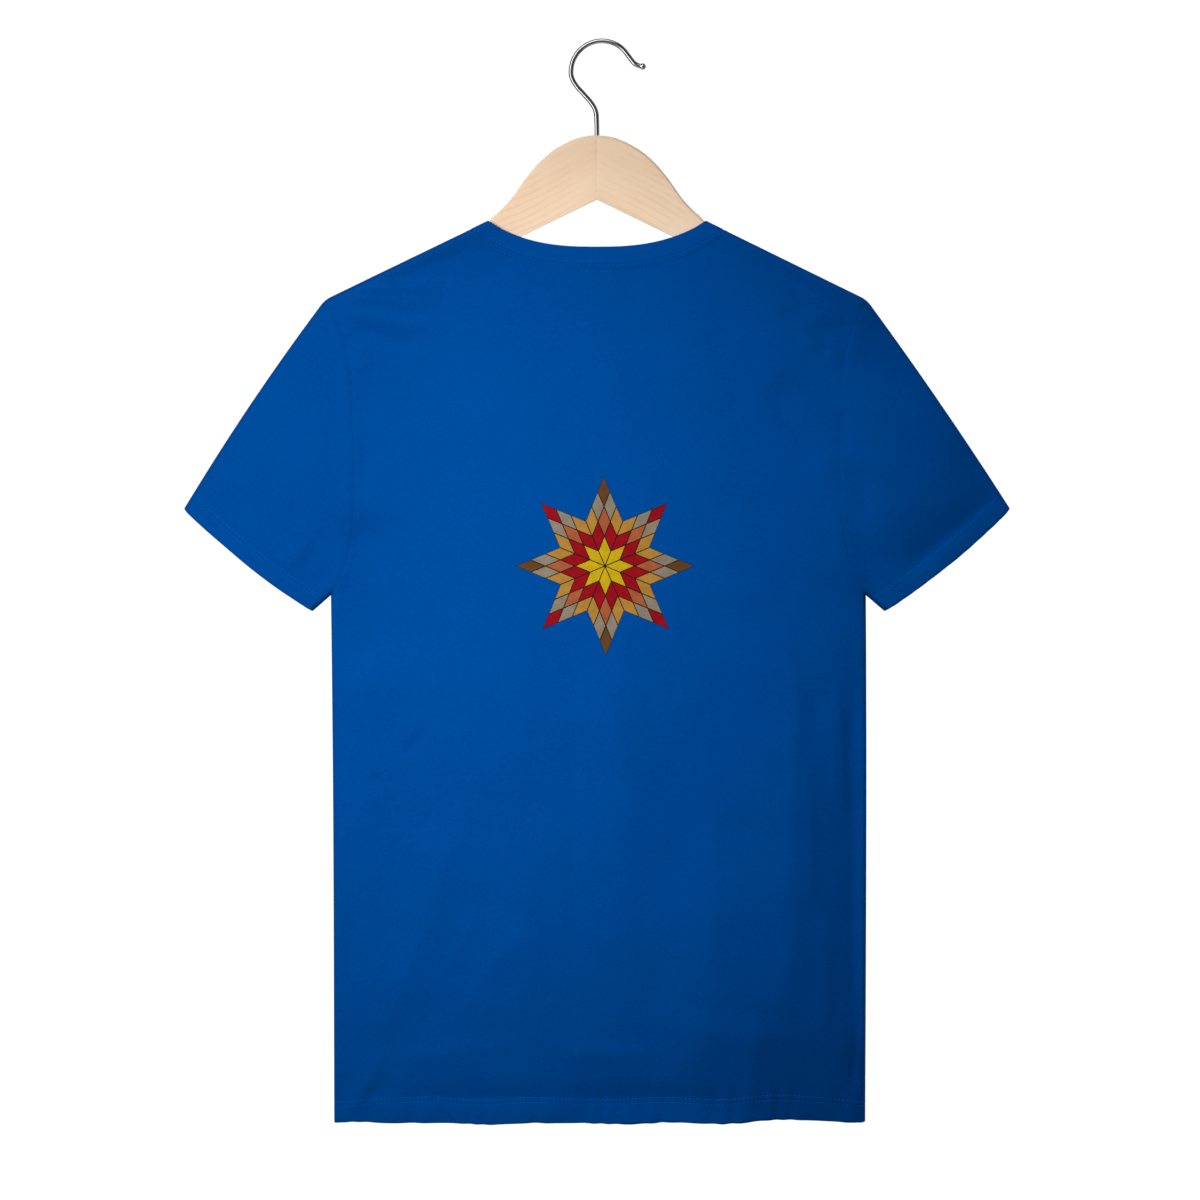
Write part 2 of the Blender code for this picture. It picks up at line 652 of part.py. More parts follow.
def wood_blank():
    """The whole hanger's mesh: its outline as a flat curve, made as thick as the wood."""
    half = wood_outline()
    outline = np.vstack([half, half[-2:0:-1] * np.array([-1.0, 1.0])])
    curve = bpy.data.curves.new("wood_outline", "CURVE")
    curve.dimensions = "2D"
    curve.fill_mode = "BOTH"
    curve.extrude = WOOD_THICKNESS / 2
    spline = curve.splines.new("POLY")
    spline.points.add(len(outline) - 1)
    for point, (x, z) in zip(spline.points, outline):
        point.co = (x, z, 0.0, 1.0)
    spline.use_cyclic_u = True
    guide = bpy.data.objects.new("wood_outline", curve)
    bpy.context.scene.collection.objects.link(guide)
    graph = bpy.context.evaluated_depsgraph_get()
    mesh = bpy.data.meshes.new_from_object(guide.evaluated_get(graph))
    bpy.data.objects.remove(guide)
    work = bmesh.new()
    work.from_mesh(mesh)
    bmesh.ops.remove_doubles(work, verts=work.verts, dist=0.00001)
    for vertex in work.verts:                          # the curve lies in XY; stand it up
        x, height, thickness = vertex.co
        vertex.co = (x, -thickness, height)
    bmesh.ops.recalc_face_normals(work, faces=work.faces)
    work.to_mesh(mesh)
    work.free()
    return mesh


def add_wood(name, hand, shank, material, collection, cutters):
    """One half of the hanger: the blank, bevelled, less the other half and the shank's hole."""
    half = bpy.data.objects.new(name, wood_blank())
    half.data.materials.clear()
    half.data.materials.append(material)
    collection.objects.link(half)
    bevel = half.modifiers.new("edges", "BEVEL")
    bevel.width = WOOD_BEVEL
    bevel.segments = 2
    bevel.limit_method = "ANGLE"
    bevel.angle_limit = math.radians(60)
    near, far = sorted((-hand * 0.3, hand * SEAM_GAP / 2))
    other_half = add_box(name + "_cut", (near, -0.05, -0.30), (far, 0.05, 0.0), cutters)
    for cutter in (other_half, shank):
        cut = half.modifiers.new("cut", "BOOLEAN")
        cut.operation = "DIFFERENCE"
        cut.solver = "EXACT"
        cut.object = cutter
    return half


def hook_route():
    """The wire's middle as places (x, z), and its thickness there as a share of the wire's."""
    angles = np.radians(np.linspace(HOOK_FROM, HOOK_TO, 9))
    arc = np.array(HOOK_CENTRE) + HOOK_RADIUS * np.stack([np.cos(angles), np.sin(angles)], axis=1)
    route = curve_through([(0.0, SHANK_END_Z), *SHANK_BEND, *arc, *HOOK_FLARE], 3)
    heading = route[-1] - route[-2]
    heading = heading / np.linalg.norm(heading)
    neck = math.sqrt(BALL_RADIUS ** 2 - WIRE_RADIUS ** 2)
    wire = route[np.linalg.norm(route - route[-1], axis=1) > neck * 1.2]
    turns = np.linspace(-math.asin(neck / BALL_RADIUS), math.radians(78), 8)
    ball = route[-1] + np.outer(np.sin(turns), heading) * BALL_RADIUS
    thickness = np.concatenate([np.ones(len(wire)), np.cos(turns) * BALL_RADIUS / WIRE_RADIUS])
    return np.vstack([wire, ball]), thickness


def add_hook(name, material, collection):
    route, thickness = hook_route()
    curve = bpy.data.curves.new(name, "CURVE")
    curve.dimensions = "3D"
    curve.bevel_depth = WIRE_RADIUS
    curve.bevel_resolution = 2
    curve.use_fill_caps = True
    spline = curve.splines.new("POLY")
    spline.points.add(len(route) - 1)
    for point, (x, z), share in zip(spline.points, route, thickness):
        point.co = (x, 0.0, z, 1.0)
        point.radius = share
    curve.materials.append(material)
    hook = bpy.data.objects.new(name, curve)
    collection.objects.link(hook)
    return hook


def clear_scene():
    for item in list(bpy.data.objects):
        bpy.data.objects.remove(item)


def add_collection(name):
    collection = bpy.data.collections.new(name)
    bpy.context.scene.collection.children.link(collection)
    return collection


def main():
    clear_scene()
    garment = add_collection("Sports t-shirt on hanger")
    cutters = add_collection("Cutters")
    add_panel("back", BACK, make_material("back jersey", ROYAL_BLUE, 0.85), garment)
    add_panel("front", FRONT, make_material("front jersey", ROYAL_BLUE, 0.85), garment)
    add_sleeve("sleeve_left", -1, make_material("left sleeve", ROYAL_BLUE, 0.85), garment)
    add_sleeve("sleeve_right", 1, make_material("right sleeve", ROYAL_BLUE, 0.85), garment)
    add_neckband("neckband", make_material("neckband rib", COLLAR_BLUE, 0.85), garment)
    shank = add_shank_cutter("shank_hole", cutters)
    add_wood("hanger_left", -1, shank, make_material("left wood", BEECH, 0.45), garment, cutters)
    add_wood("hanger_right", 1, shank, make_material("right wood", BEECH, 0.45), garment, cutters)
    add_hook("hook", make_material("hook steel", STEEL, 0.18, metallic=1.0), garment)


main()
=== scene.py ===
"""Looks of the sports t-shirt on its hanger: jersey, ribs, stitches, print, wood and steel.

Metres, +Z up, in the frame of the CAD model: the origin is the inside top of the hook and
the shirt's back faces -Y.  The cloth follows the same outline and depth as the CAD solids,
and the finer creases, seams and puckers are added to it here.

A place is a pair (x, z) on the flat garment.  cloth_points() stands places off the middle
plane, towards -Y for the back and +Y for the front.
"""
from collections import namedtuple
from math import asin, atan2, cos, pi, radians, sin, sqrt, tau

import bmesh
import bpy
import numpy as np
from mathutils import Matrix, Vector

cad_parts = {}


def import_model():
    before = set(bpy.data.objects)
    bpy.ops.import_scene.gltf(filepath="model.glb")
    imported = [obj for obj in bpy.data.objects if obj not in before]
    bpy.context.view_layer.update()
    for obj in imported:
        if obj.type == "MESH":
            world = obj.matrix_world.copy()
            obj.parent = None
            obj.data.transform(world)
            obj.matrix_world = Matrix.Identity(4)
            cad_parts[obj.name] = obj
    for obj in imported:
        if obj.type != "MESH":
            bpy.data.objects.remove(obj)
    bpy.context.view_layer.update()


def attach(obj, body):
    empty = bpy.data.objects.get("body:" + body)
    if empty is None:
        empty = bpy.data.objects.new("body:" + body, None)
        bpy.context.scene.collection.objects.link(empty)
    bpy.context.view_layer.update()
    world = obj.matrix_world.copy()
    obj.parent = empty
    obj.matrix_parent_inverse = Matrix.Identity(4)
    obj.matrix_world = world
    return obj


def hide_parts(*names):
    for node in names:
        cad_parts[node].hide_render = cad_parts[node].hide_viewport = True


BACK, FRONT = -1, 1  # the sides of the shirt, as the sign of Y
LEFT, RIGHT = -1, 1  # its sleeves, as the sign of X
norm = np.linalg.norm


def in_mm(kind, rows):
    """Rows of a table in millimetres, as a kind of tuple in metres."""
    return [kind(*np.array(row) / 1000) for row in rows]


# ---- sizes shared with the CAD
COLLAR_CORNER = np.array((0.0876, -0.1422))
NECK_POINT = np.array((0.1008, -0.1486))
SHOULDER_TIP = np.array((0.2172, -0.2050))
CUFF_OUTER = np.array((0.3304, -0.3720))
CUFF_INNER = np.array((0.2288, -0.4542))
UNDERARM = np.array((0.2140, -0.4412))
HALF_HEM = 0.2124
HEM_Z = -0.8624

TIP_ROUNDING = 0.006
SLEEVE_TOP_BOW = 0.002
CUFF_BOW = 0.0036
ARMHOLE_BOW = 0.021
ARMHOLE_FLATNESS = 3.5
STEEP_POWER = 20  # of a neckline's fall close to the shoulder

Neckline = namedtuple("Neckline", "seam_drop edge_drop corner underarm_x")
NECKLINES = {
    BACK: Neckline(seam_drop=0.0288, edge_drop=0.0220, corner=2.6, underarm_x=0.106),
    FRONT: Neckline(seam_drop=0.0930, edge_drop=0.0850, corner=3.0, underarm_x=0.132),
}

Wave = namedtuple("Wave", "x width rise")
HEM_WAVES = in_mm(Wave, [
    (-204, 20, 0.8), (-90, 22, -1.2), (142, 34, 3.6), (0, 150, 0.8),
    (-214, 22, -1.4), (-150, 24, 0.8), (-52, 20, 1.4), (56, 28, 2),
    (128, 18, 0.8)
])

SEAM_GAP = 0.0001
SIDE_LAP = 0.0001  # back and front run into one another by this at their edges
HEM_DEPTH = 0.0202
CUFF_DEPTH = 0.0145
TURN_STEP = 0.0008  # over which hem and cuff thin out to a single cloth

EDGE_ROUNDING = 0.004
EDGE_DEPTH = 0.0085
CRISP_DEPTH = 0.0050  # half depth of an edge with nothing inside it
CRISP_REACH = 0.0150  # from where it widens to the full depth
OVER_ARM_X, OVER_ARM_Z = 0.226, -0.300  # where the hanger's arms stop keeping edges apart
OVER_ARM_FADE = (0.022, 0.060)
FULLNESS_POWER = 1.5
SLEEVE_FULLNESS = 0.007
SLEEVE_MIDDLE = np.array((0.268, -0.360))
SLEEVE_SPREAD = np.array((0.050, 0.070))
# How far the body stands out beyond that: height, back, front
FULLNESS = (
    (-0.900, 0.0130, 0.0170),
    (-0.780, 0.0140, 0.0180),
    (-0.620, 0.0155, 0.0210),
    (-0.420, 0.0165, 0.0230),
    (-0.260, 0.0120, 0.0170),
    (-0.130, 0.0050, 0.0060),
)

# How far the cloth swings off the middle line: height, shift
SWINGS = (
    (-0.900, 0.0022),
    (-0.540, 0.0019),
    (-0.450, 0.0012),
    (-0.370, 0.0000),
    (-0.290, -0.0010),
    (-0.200, -0.0009),
    (-0.140, 0.0000),
)

WOOD_THICKNESS = 0.012
WOOD_TOP_ROUNDING = 0.0010  # the radius of its upper edges, and of its lower ones
WOOD_UNDER_ROUNDING = 0.0004
WOOD_TOP_BEVEL = 0.0024  # cut off the right half's upper edges instead
WOOD_CANT = 0.10  # the underside rises by this share of the thickness
WOOD_JOINT_CHAMFER = 0.00004
WOOD_JOINT_GAP = 0.00002
WOOD_PITCH = 0.0024
WOOD_SHARP = 40.0  # degrees between faces from which an edge is sharp
MOST_ROUNDING = 0.45  # of a section's height
EDGE_SUPPORT = 0.1  # share of the height from a rounding to one more point
DRILL_OVER = 0.01  # how far the shank's hole is cut out above the wood
ARM_CLEARANCE = 0.0034  # from the shoulder's outline down to the wood
ARM_END_X = 0.2060
ARM_END_DEPTH = 0.0205
ARM_KNEE_X = 0.1300
WOOD_APEX_Z = -0.1254
WOOD_UNDER_SLOPE = 0.487
WOOD_CREST = (
    (0.0000, -0.0736), (0.0102, -0.0746), (0.0203, -0.0778), (0.0325, -0.0842),
    (0.0409, -0.0906), (0.0476, -0.0970), (0.0531, -0.1034), (0.0580, -0.1098),
    (0.0625, -0.1162), (0.0670, -0.1226), (0.0724, -0.1290), (0.0790, -0.1354),
    (0.0829, -0.1387), (0.0856, -0.1422), (0.0876, -0.1456),
)

WIRE_RADIUS = 0.0019
WIRE_SIDES = 28
SHANK_FIT = 0.0003
HOOK_CENTRE = np.array((0.0040, -0.02255))
HOOK_RADIUS = 0.0248
HOOK_FROM, HOOK_TO = 180, 30  # degrees, over the top
SHANK_END_Z = -0.1000
SHANK_BEND = (
    (0.0000, -0.0780), (-0.0002, -0.0620), (-0.0010, -0.0540), (-0.0042, -0.0478),
    (-0.0098, -0.0412), (-0.0160, -0.0343), (-0.0196, -0.0284),
)
HOOK_FLARE = (
    (0.0296, -0.0154), (0.0334, -0.0176), (0.0366, -0.0182),
)
BALL_RADIUS = 0.0025
BALL_TOP = 86  # degrees round it, where it closes
BALL_ROOM = 1.2  # how much further from its middle the wire ends than the ball starts

# ---- folds
# A fold is a line down the cloth, its bow to +X, its height (a trough is less than 0), and
# how far it spreads to -X and to +X.  Where the line runs across instead, towards +X, its
# bow and second spread are upwards.  The tables are in millimetres.
Fold = namedtuple("Fold", "x0 z0 x1 z1 bow height left right")
BACK_FOLDS = in_mm(Fold, [
    # long ridges down the body, from the left side to the right
    (-188, -450, -192, -740, 1, 3.4, 15, 16), (-104, -595, -186, -820, 3, 4, 26, 15),
    (-56, -690, -108, -800, 2, 1.8, 18, 12), (-59, -470, -80, -635, 6, 2.2, 30, 15),
    (-72, -605, -60, -815, 7, 3, 22, 20), (-64, -704, -122, -790, 1, 0.9, 7, 4.6),
    (-90, -682, -140, -770, 1, 0.8, 7, 4.6), (-22.5, -480, -19, -820, 0, -1, 12, 6),
    (14, -425, 30, -820, -4, 4.2, 26, 30), (90, -560, 86, -810, 2, 1, 14, 10),
    (130, -455, 144, -590, 20, 2.2, 30, 6), (156, -520, 144, -815, 3, 5.2, 24, 20),
    # the right side falls into a trough before the side seam
    (203.5, -465, 202.5, -850, 0, -5.6, 20, 5.6), (184, -525, 189, -615, 0.5, 1.2, 4, 3),
    (189, -490, 196, -635, 0.5, 1.2, 3, 4), (166, -585, 170, -700, 0, 1, 5, 4),
    (178, -680, 180, -800, 1, 1.2, 6, 5), (209, -760, 199, -845, 0, -1.2, 3, 3),
    (80, -620, 80, -1000, 0, 8, 34, 56), (216, -780, 220, -950, 0, -4, 34, 8),
    (30, -786, 290, -796, 0, 7.6, 40, 80),
    # left side below the ridge
    (-200, -630, -199, -770, 0, -1.8, 5, 11),
    # lower left corner, a diagonal ridge with a hollow on each side
    (-168, -798, -206, -866, 1, 2.2, 5.5, 5.5), (-164, -830, -190, -842, 0, -1.4, 6, 6),
    (-203, -820, -210, -860, 0, -1.4, 5, 6),
    # above the hem, a long hollow under a low ridge
    (-196, -843, 6, -840, 1, -2.2, 8, 8), (-34, -843, 122, -843, 1, -4.6, 18, 11),
    (-176, -813, -56, -799, 1, 1.3, 7, 8), (-44, -806, 52, -806, 0.5, 1, 10, 3.6),
    (125, -770, 118, -856, 0, 2.2, 40, 7), (48, -864, 145, -862, 0, 3, 10, 15),
    # short creases on the left, halfway down
    (-137, -547, -156, -570, 0, -1.3, 3, 5), (-173, -583, -186, -595, 0, -0.9, 3, 4),
    (-190, -569, -170, -630, 0, 0.6, 3, 4),
    # left shoulder, creases that fan from the sleeve head towards the neck
    (-215, -208.5, -45, -126, 0, 5, 12, 4), (-214, -214, -124, -232, 2, 2.8, 7, 5),
    (-212, -205, -124, -212, 2, 2.6, 6, 5), (-205, -201, -114, -194, 1.5, 2.4, 6, 4.5),
    (-170, -193, -90, -164, 1, -1.2, 7, 4.5), (-196, -227, -140, -248, 2, -2, 6, 5),
    # left armhole, ending in a deep hollow under the arm
    (-186, -262, -183, -370, 0, -1.6, 7, 9), (-188, -236, -185, -266, 0, 1.2, 5, 5),
    (-186, -360, -186, -515, 0, -9, 13, 28), (-152, -260, -144, -310, 0, -0.8, 10, 10),
    # right shoulder, which rolls over slowly
    (50, -128.5, 245, -223, 0, 4.4, 14, 4), (178, -220, 183, -256, 2, -1.8, 7, 7),
    (150, -208, 162, -248, 2, -1, 8, 8), (196, -212, 199, -268, 0, -1.4, 5, 4),
    (112, -180, 190, -214, 1, 0.6, 4, 5),
    # right shoulder blade, a sharp crease under a slanting ridge
    (129, -228, 144, -282, 2, 1, 14, 10), (130, -273, 181, -348, 1, -2, 6, 8),
    (158, -306, 210, -450, 8, 3, 14, 14), (196, -290, 199, -330, 0, -1.2, 6, 5),
    # right sleeve, which rolls over along its top
    (225, -200, 344, -382, 0, -5.6, 20, 8), (220, -250, 224, -420, 0, 4.5, 40, 30),
    (212, -336, 211, -388, 1, -1.4, 6, 7),
    # hollow above the right cuff
    (326, -354, 235, -432, -1, -4.4, 20, 7),
    # left sleeve: a soft ridge along the armhole, hollows above the cuff
    (-216, -270, -228, -400, -5, 1.2, 16, 14), (-305, -354, -240, -405, 1, -2, 14, 12),
    (-238, -406, -212, -434, 0, -1.6, 9, 11),
])
FRONT_FOLDS = in_mm(Fold, [
    (186, -430, 190, -640, -1, 2.2, 14, 16), (104, -560, 176, -825, -3, 4.2, 15, 26),
    (60, -670, 100, -790, 2, 1.7, 12, 18), (46, -430, 62, -815, -5, 3.6, 17, 28),
    (-36, -480, -28, -825, 4, 3.8, 28, 20), (-82, -580, -79, -790, 2, 1.1, 10, 14),
    (-128, -460, -140, -610, -18, 2.2, 7, 30), (-140, -540, -123, -800, -6, 4.8, 20, 34),
    (-196, -470, -200, -800, -1, -3.8, 5.5, 10), (-164, -730, -206, -880, 0, -3.6, 30, 26),
    (199, -640, 199, -760, 0, -1.8, 11, 5), (164, -800, 205, -864, -1, 2, 5.5, 5.5),
    (150, -830, 186, -840, 0, -1.4, 6, 6), (10, -840, 150, -841, 1, -2.6, 8, 11),
    (-120, -840, -20, -841, 1, -3, 8, 11), (-50, -812, 120, -806, 1, 1.2, 7, 8),
    (-90, -790, -92, -842, 1, -1.5, 4, 5), (120, -560, 136, -586, 0, -1.2, 4, 4),
    (10, -720, 2, -760, 0, -0.8, 3.5, 5), (204, -210, 142, -224, -2, -1.5, 4.5, 5),
    (185, -199, 124, -201, -1, -1.4, 4, 5), (-196, -208, -135, -220, 2, -1.5, 5, 5),
    (-170, -190, -108, -175, 1, -1.4, 6, 6), (-80, -264, 70, -262, 4, -1.2, 8, 9),
    (134, -280, 176, -348, 1, -1.8, 8, 6), (150, -320, 206, -450, 6, 2.6, 14, 14),
    (-186, -265, -184, -360, -1, -1.6, 8, 7), (-150, -290, -205, -410, -4, 2.8, 16, 11),
    (190, -340, 206, -450, -3, -5, 12, 8), (-216, -260, -223, -400, -5, 1.8, 14, 8),
    (216, -270, 224, -400, 5, 2, 8, 14), (-304, -356, -244, -414, 1, -3, 9, 12),
    (306, -356, 245, -415, -1, -2.8, 12, 9),
])
FOLDS = {BACK: BACK_FOLDS, FRONT: FRONT_FOLDS}
FOLD_FADE = 0.30  # share of a fold's length over which each end dies out
CREST_SHARE = 0.40  # how round its crest is, as a share of its spread

# Slow undulation that no cloth is free of: wavelength, direction in degrees, height, phase
Swell = namedtuple("Swell", "length heading height phase")
SWELLS = (
    Swell(0.061, 12.0, 0.00016, 0.4),
    Swell(0.047, 68.0, 0.00012, 2.1),
    Swell(0.083, 104.0, 0.00022, 4.4),
    Swell(0.036, -31.0, 0.00008, 1.2),
    Swell(0.029, 82.0, 0.00006, 5.3),
)

CLOTH = 0.0009  # visible thickness of the jersey
HEM_CLOTH = 0.0018  # and where it is turned up
LEAST_CLOTH = 0.6 * CLOTH  # under the bottom of a groove
LEAST_DEPTH = 0.0035  # from the middle plane to the cloth, beyond the rounding
ARM_DEPTH = 0.0079  # and over the hanger's arms
DEPTH_EASE = 0.0005  # how softly folds are stopped there
PITCH = 0.0022  # of the cloth's outside grid
SLOPE_STEP = 0.00025
CLOTH_SHARP = 55.0  # degrees between faces from which an edge is sharp
THREAD_SHARP = 70.0
ON_EDGE = 0.00004  # a place this close to the outline is on it

# Twin rows of stitches, as heights above the hem's or cuff's edge
HEM_ROWS = (0.0194, 0.0156)
CUFF_ROWS = (0.0145, 0.0112)
# the hem's rows wander a little more than its edge
ROW_WAVES = in_mm(Wave, [
    (-215, 26, -3), (-136, 20, 1.1), (-78, 26, 0.6), (210, 20, -2.2)
])
# Rows of the grids, as stretches of (start, end, about how far apart): up from the hem, in
# from the cuff, on as a share of the sleeve, down from the shoulder and across the neckband
HEM_STATIONS = ((0.0, 0.0110, 0.0018), (0.0110, 0.0230, 0.0005), (0.0230, 0.0500, 0.0018))
CUFF_STATIONS = ((0.0, 0.0100, 0.0016), (0.0100, 0.0165, 0.0005))
SLEEVE_STATIONS = ((0.0, 0.90, 0.013), (0.90, 1.0, 0.006))
SHOULDER_STATIONS = ((0.0, 0.0070, 0.00045), (0.0070, 0.0140, 0.0012))
GROOVE_DEPTH = 0.00028
GROOVE_WIDTH = 0.00055
BAND_RAISE = 0.00030  # the turned cloth stands out by this
BAND_STEP = 0.0012  # and falls off over this

# Hem puckers: slanting ripples between the edge and the rows
PUCKER_PITCH = 0.0210
PUCKER_SLANT = 0.15  # sideways travel for each metre up
PUCKER_HEIGHT = 0.00030
PUCKER_FADE = 0.007  # they die out this far above the upper row
PUCKER_DRIFTS = ((0.42, 0.113), (0.23, 0.049))  # how unevenly they follow: amount, length
# stretches where they are deeper
PUCKER_SWELLS = in_mm(Wave, [
    (-165, 22, 0.1), (-20, 30, 0.14), (80, 45, 0.34), (160, 20, 0.1)
])
HEM_SWAY_LENGTH = 0.093
HEM_SWAY = 0.0011  # the hem swings in and out by this
HEM_SWAY_FADE = 0.055
HEM_SWAY_PHASE = 0.8
CUFF_RIPPLE = 0.00014
CUFF_RIPPLE_LENGTH = 0.0146
CUFF_RIPPLE_DRIFT = 1.3

SEAM_TUCK = 0.00022  # the body dips into the armhole seam
SEAM_TUCK_WIDTH = 0.0022
SEAM_RAISE = 0.00042  # and the sleeve, with the seam's spare cloth under it, rises
SEAM_RISE_WIDTH = 0.0016
SEAM_RAISE_WIDTH = 0.0095
SEAM_PUCKER_PITCH = 0.0105
SEAM_PUCKER_DRIFT = 0.013
SEAM_PUCKER = 0.00018
SEAM_PUCKER_AT = 0.0030
SEAM_PUCKER_WIDTH = 0.0028

TAPE_WIDTH = 0.0042  # neck tape sewn inside, showing as a ridge
TAPE_RAISE = 0.00060
TAPE_START = 0.0018
TAPE_END = 0.0006
TAPE_GROOVE = 0.00010
LABEL_HALF_WIDTH = 0.0130  # a bare label sewn in behind shows as a low rectangle
LABEL_BOTTOM = 0.0068  # below the seam
LABEL_RAISE = 0.00016
NECK_ROW = 0.0034  # stitches below the seam, along the tape
BAND_ROW = 0.0013  # stitches above the seam, on the neckband
FRONT_NECK_ROW = 0.0022
LABEL_ROW_IN = 0.0010  # the label's stitches lie this far in from its edges
LABEL_ROW_HEIGHT = 0.0054
# How far a row stops before the seam at its end: a distance, and shares of the row
ROW_END, CUFF_ROW_END, NECK_ROW_END = 0.0015, 0.012, 0.04 / pi

RIB_PITCH = 0.0019
RIB_HEIGHT = 0.00036
RIB_COLUMNS = 6
RIB_SQUARENESS = 0.7  # less than 1 makes their sides steeper
RIB_INSIDE = 0.4  # how much of their height the inside has
COLLAR_STEEPENING = 0.07
BAND_STAND = 0.00025  # the neckband stands out from the panels by this
BAND_THICKNESS = 0.0018
BAND_TUCK = 0.00020
BAND_TUCK_WIDTH = 0.0011
BAND_OVERLAP = 0.12  # share of the band's width hidden behind the panels
BAND_SINK = 0.0013  # how deep that part lies
BAND_STATIONS = ((0.0, 0.70, 0.12), (0.70, 1.0, 0.05), (1.0, 1.0 + BAND_OVERLAP, 0.06))

STITCH_PITCH = 0.0033
STITCH_SHARE = 0.78  # of the pitch that shows as thread
THREAD_RADIUS = 0.00028
STITCH_SPREAD = 0.05  # how much of the pitch a stitch is longer or shorter by
STITCH_SLANT = 0.12  # how far it leans, as a share of the radius
THREAD_TIP, THREAD_END = 0.45, 0.02  # how thin a stitch's end is, and how blunt
THREAD_RISE, THREAD_SINK = 0.9, 0.75  # of the middle and of the ends, in radii
THREAD_SIDES = 6
THREAD_RINGS = 5

# ---- print
PRINT_CENTRE = np.array((0.0056, -0.4180))
PRINT_RADIUS = 0.0710
STAR_POINTS = 8
STAR_CELLS = 3  # cells along each side of a point's rhombus
CELL_INKS = ("yellow", "crimson", "gold", "steel_grey", "bronze")  # from the centre out
CELL_INSET = 0.00038
GROUND_LIFT = 0.00010
CELL_LIFT = 0.00020
INK_THICKNESS = 0.00012
INK_STEPS = 7

# ---- colours, as linear light
JERSEY_BLUE = (0.0000, 0.0560, 0.2600)
RIB_BLUE = (0.0000, 0.0600, 0.2760)
THREAD_BLUE = (0.0000, 0.0920, 0.3920)
WOOD_LIGHT = (0.9200, 0.7000, 0.4980)
WOOD_DARK = (0.7600, 0.5050, 0.3250)
STEEL = (0.7800, 0.7900, 0.8000)
INKS = {
    "outline": (0.010, 0.005, 0.004),
    "crimson": (0.230, 0.004, 0.008),
    "gold": (0.330, 0.170, 0.030),
    "bronze": (0.095, 0.040, 0.012),
    "steel_grey": (0.200, 0.165, 0.120),
    "terracotta": (0.290, 0.080, 0.030),
    "yellow": (0.440, 0.300, 0.006),
}
FLOOR_GREY = (0.86, 0.86, 0.86)
WALE, COURSE = 0.0015, 0.00062  # width and height of the knit's loops


# ---- helpers

def stacked(*parts):
    return np.stack(parts, axis=-1)


def mix(start, end, share):
    return start + (end - start) * share


def smooth_step(value):
    value = np.clip(value, 0.0, 1.0)
    return value * value * (3.0 - 2.0 * value)


def until(value, end, fade):
    """1 up to an end, then down to 0 over a fade."""
    return 1 - smooth_step((value - end) / fade)


def bell(offset, width):
    return np.exp(-(offset / width) ** 2)


def bow(share):
    """An arch from 0 up to 1 halfway and back."""
    return 4 * share * (1 - share)


def ripple(travel, length=1.0, phase=0.0):
    return np.sin(tau * travel / length + phase)


def unit(vectors):
    return vectors / np.maximum(norm(vectors, axis=-1, keepdims=True), 1e-12)


def quarter_turn(vectors):
    """Vectors (x, z) turned by 90 degrees, from up towards +X."""
    return stacked(vectors[..., 1], -vectors[..., 0])


def step_towards(place, target, distance):
    return place + distance * unit(target - place)


def extended(path):
    """A path with one more point straight on at each end."""
    return np.vstack([2 * path[0] - path[1], path, 2 * path[-1] - path[-2]])


def smooth_curve(value, rows, column=1):
    """A smooth curve through a table's rows, for an array of values of its first column."""
    knots, heights = np.array(rows).T[[0, column]]
    slopes = np.gradient(heights, knots)
    index = np.clip(np.searchsorted(knots, value) - 1, 0, len(knots) - 2)
    span = knots[index + 1] - knots[index]
    t = np.clip((value - knots[index]) / span, 0.0, 1.0)
    bend = (1.0 - t) * slopes[index] - t * slopes[index + 1]
    return mix(heights[index], heights[index + 1], smooth_step(t)) + t * (1.0 - t) * span * bend


def curve_through(points, steps):
    """A smooth open curve (Catmull-Rom) through points, with steps spans between each pair."""
    padded = extended(np.array(points, dtype=float))
    t = np.arange(steps)[:, None] / steps
    curve = [0.5 * (2 * start + (end - before) * t
                    + (2 * before - 5 * start + 4 * end - after) * t ** 2
                    + (3 * start - before - 3 * end + after) * t ** 3)
             for before, start, end, after in zip(padded, padded[1:], padded[2:], padded[3:])]
    return np.vstack([*curve, points[-1]])


def closed(rows):
    """Rows with their first column once more at the end."""
    return np.concatenate([rows, rows[:, :1]], axis=1)


def half_turn(count):
    """Angles from -90 to 90 degrees."""
    return np.linspace(-pi / 2, pi / 2, count)


def travelled(path):
    """Distance along a path to each of its points."""
    return np.concatenate([[0.0], np.cumsum(norm(np.diff(path, axis=0), axis=1))])


def along_path(path, distance, values=None):
    """Points at distances along a path, or values there of what is given for its points."""
    lengths = travelled(path)
    columns = (path if values is None else values).T
    return stacked(*(np.interp(distance, lengths, column) for column in columns))


def offsets_from(starts, spans, x, z):
    """Offsets of places from the nearest point of each straight span."""
    place = stacked(x, z)[..., None, :]
    share = ((place - starts) * spans).sum(-1) / (spans ** 2).sum(-1)
    return place - (starts + spans * np.clip(share, 0.0, 1.0)[..., None])


def path_distance(path, x, z):
    return norm(offsets_from(path[:-1], np.diff(path, axis=0), x, z), axis=-1).min(axis=-1)


def stations(*stretches):
    """Values through stretches of (start, end, about how far apart), ends included."""
    values = [stretches[0][0]]
    for start, end, spacing in stretches:
        count = max(1, round(abs(end - start) / spacing))
        values.extend(np.linspace(start, end, count + 1)[1:])
    return np.array(values)


def with_odd_count(values):
    """Values, with one more in their widest step where their count is even."""
    if len(values) % 2 == 0:
        widest = np.abs(np.diff(values)).argmax()
        values = np.insert(values, widest + 1, values[widest:widest + 2].mean())
    return values


# ---- the outline

CUFF_ACROSS = CUFF_OUTER - CUFF_INNER
CUFF_OUTWARD = unit(quarter_turn(CUFF_ACROSS))
TIP_INDEX = 5  # of upper_outline: the middle of the rounded tip


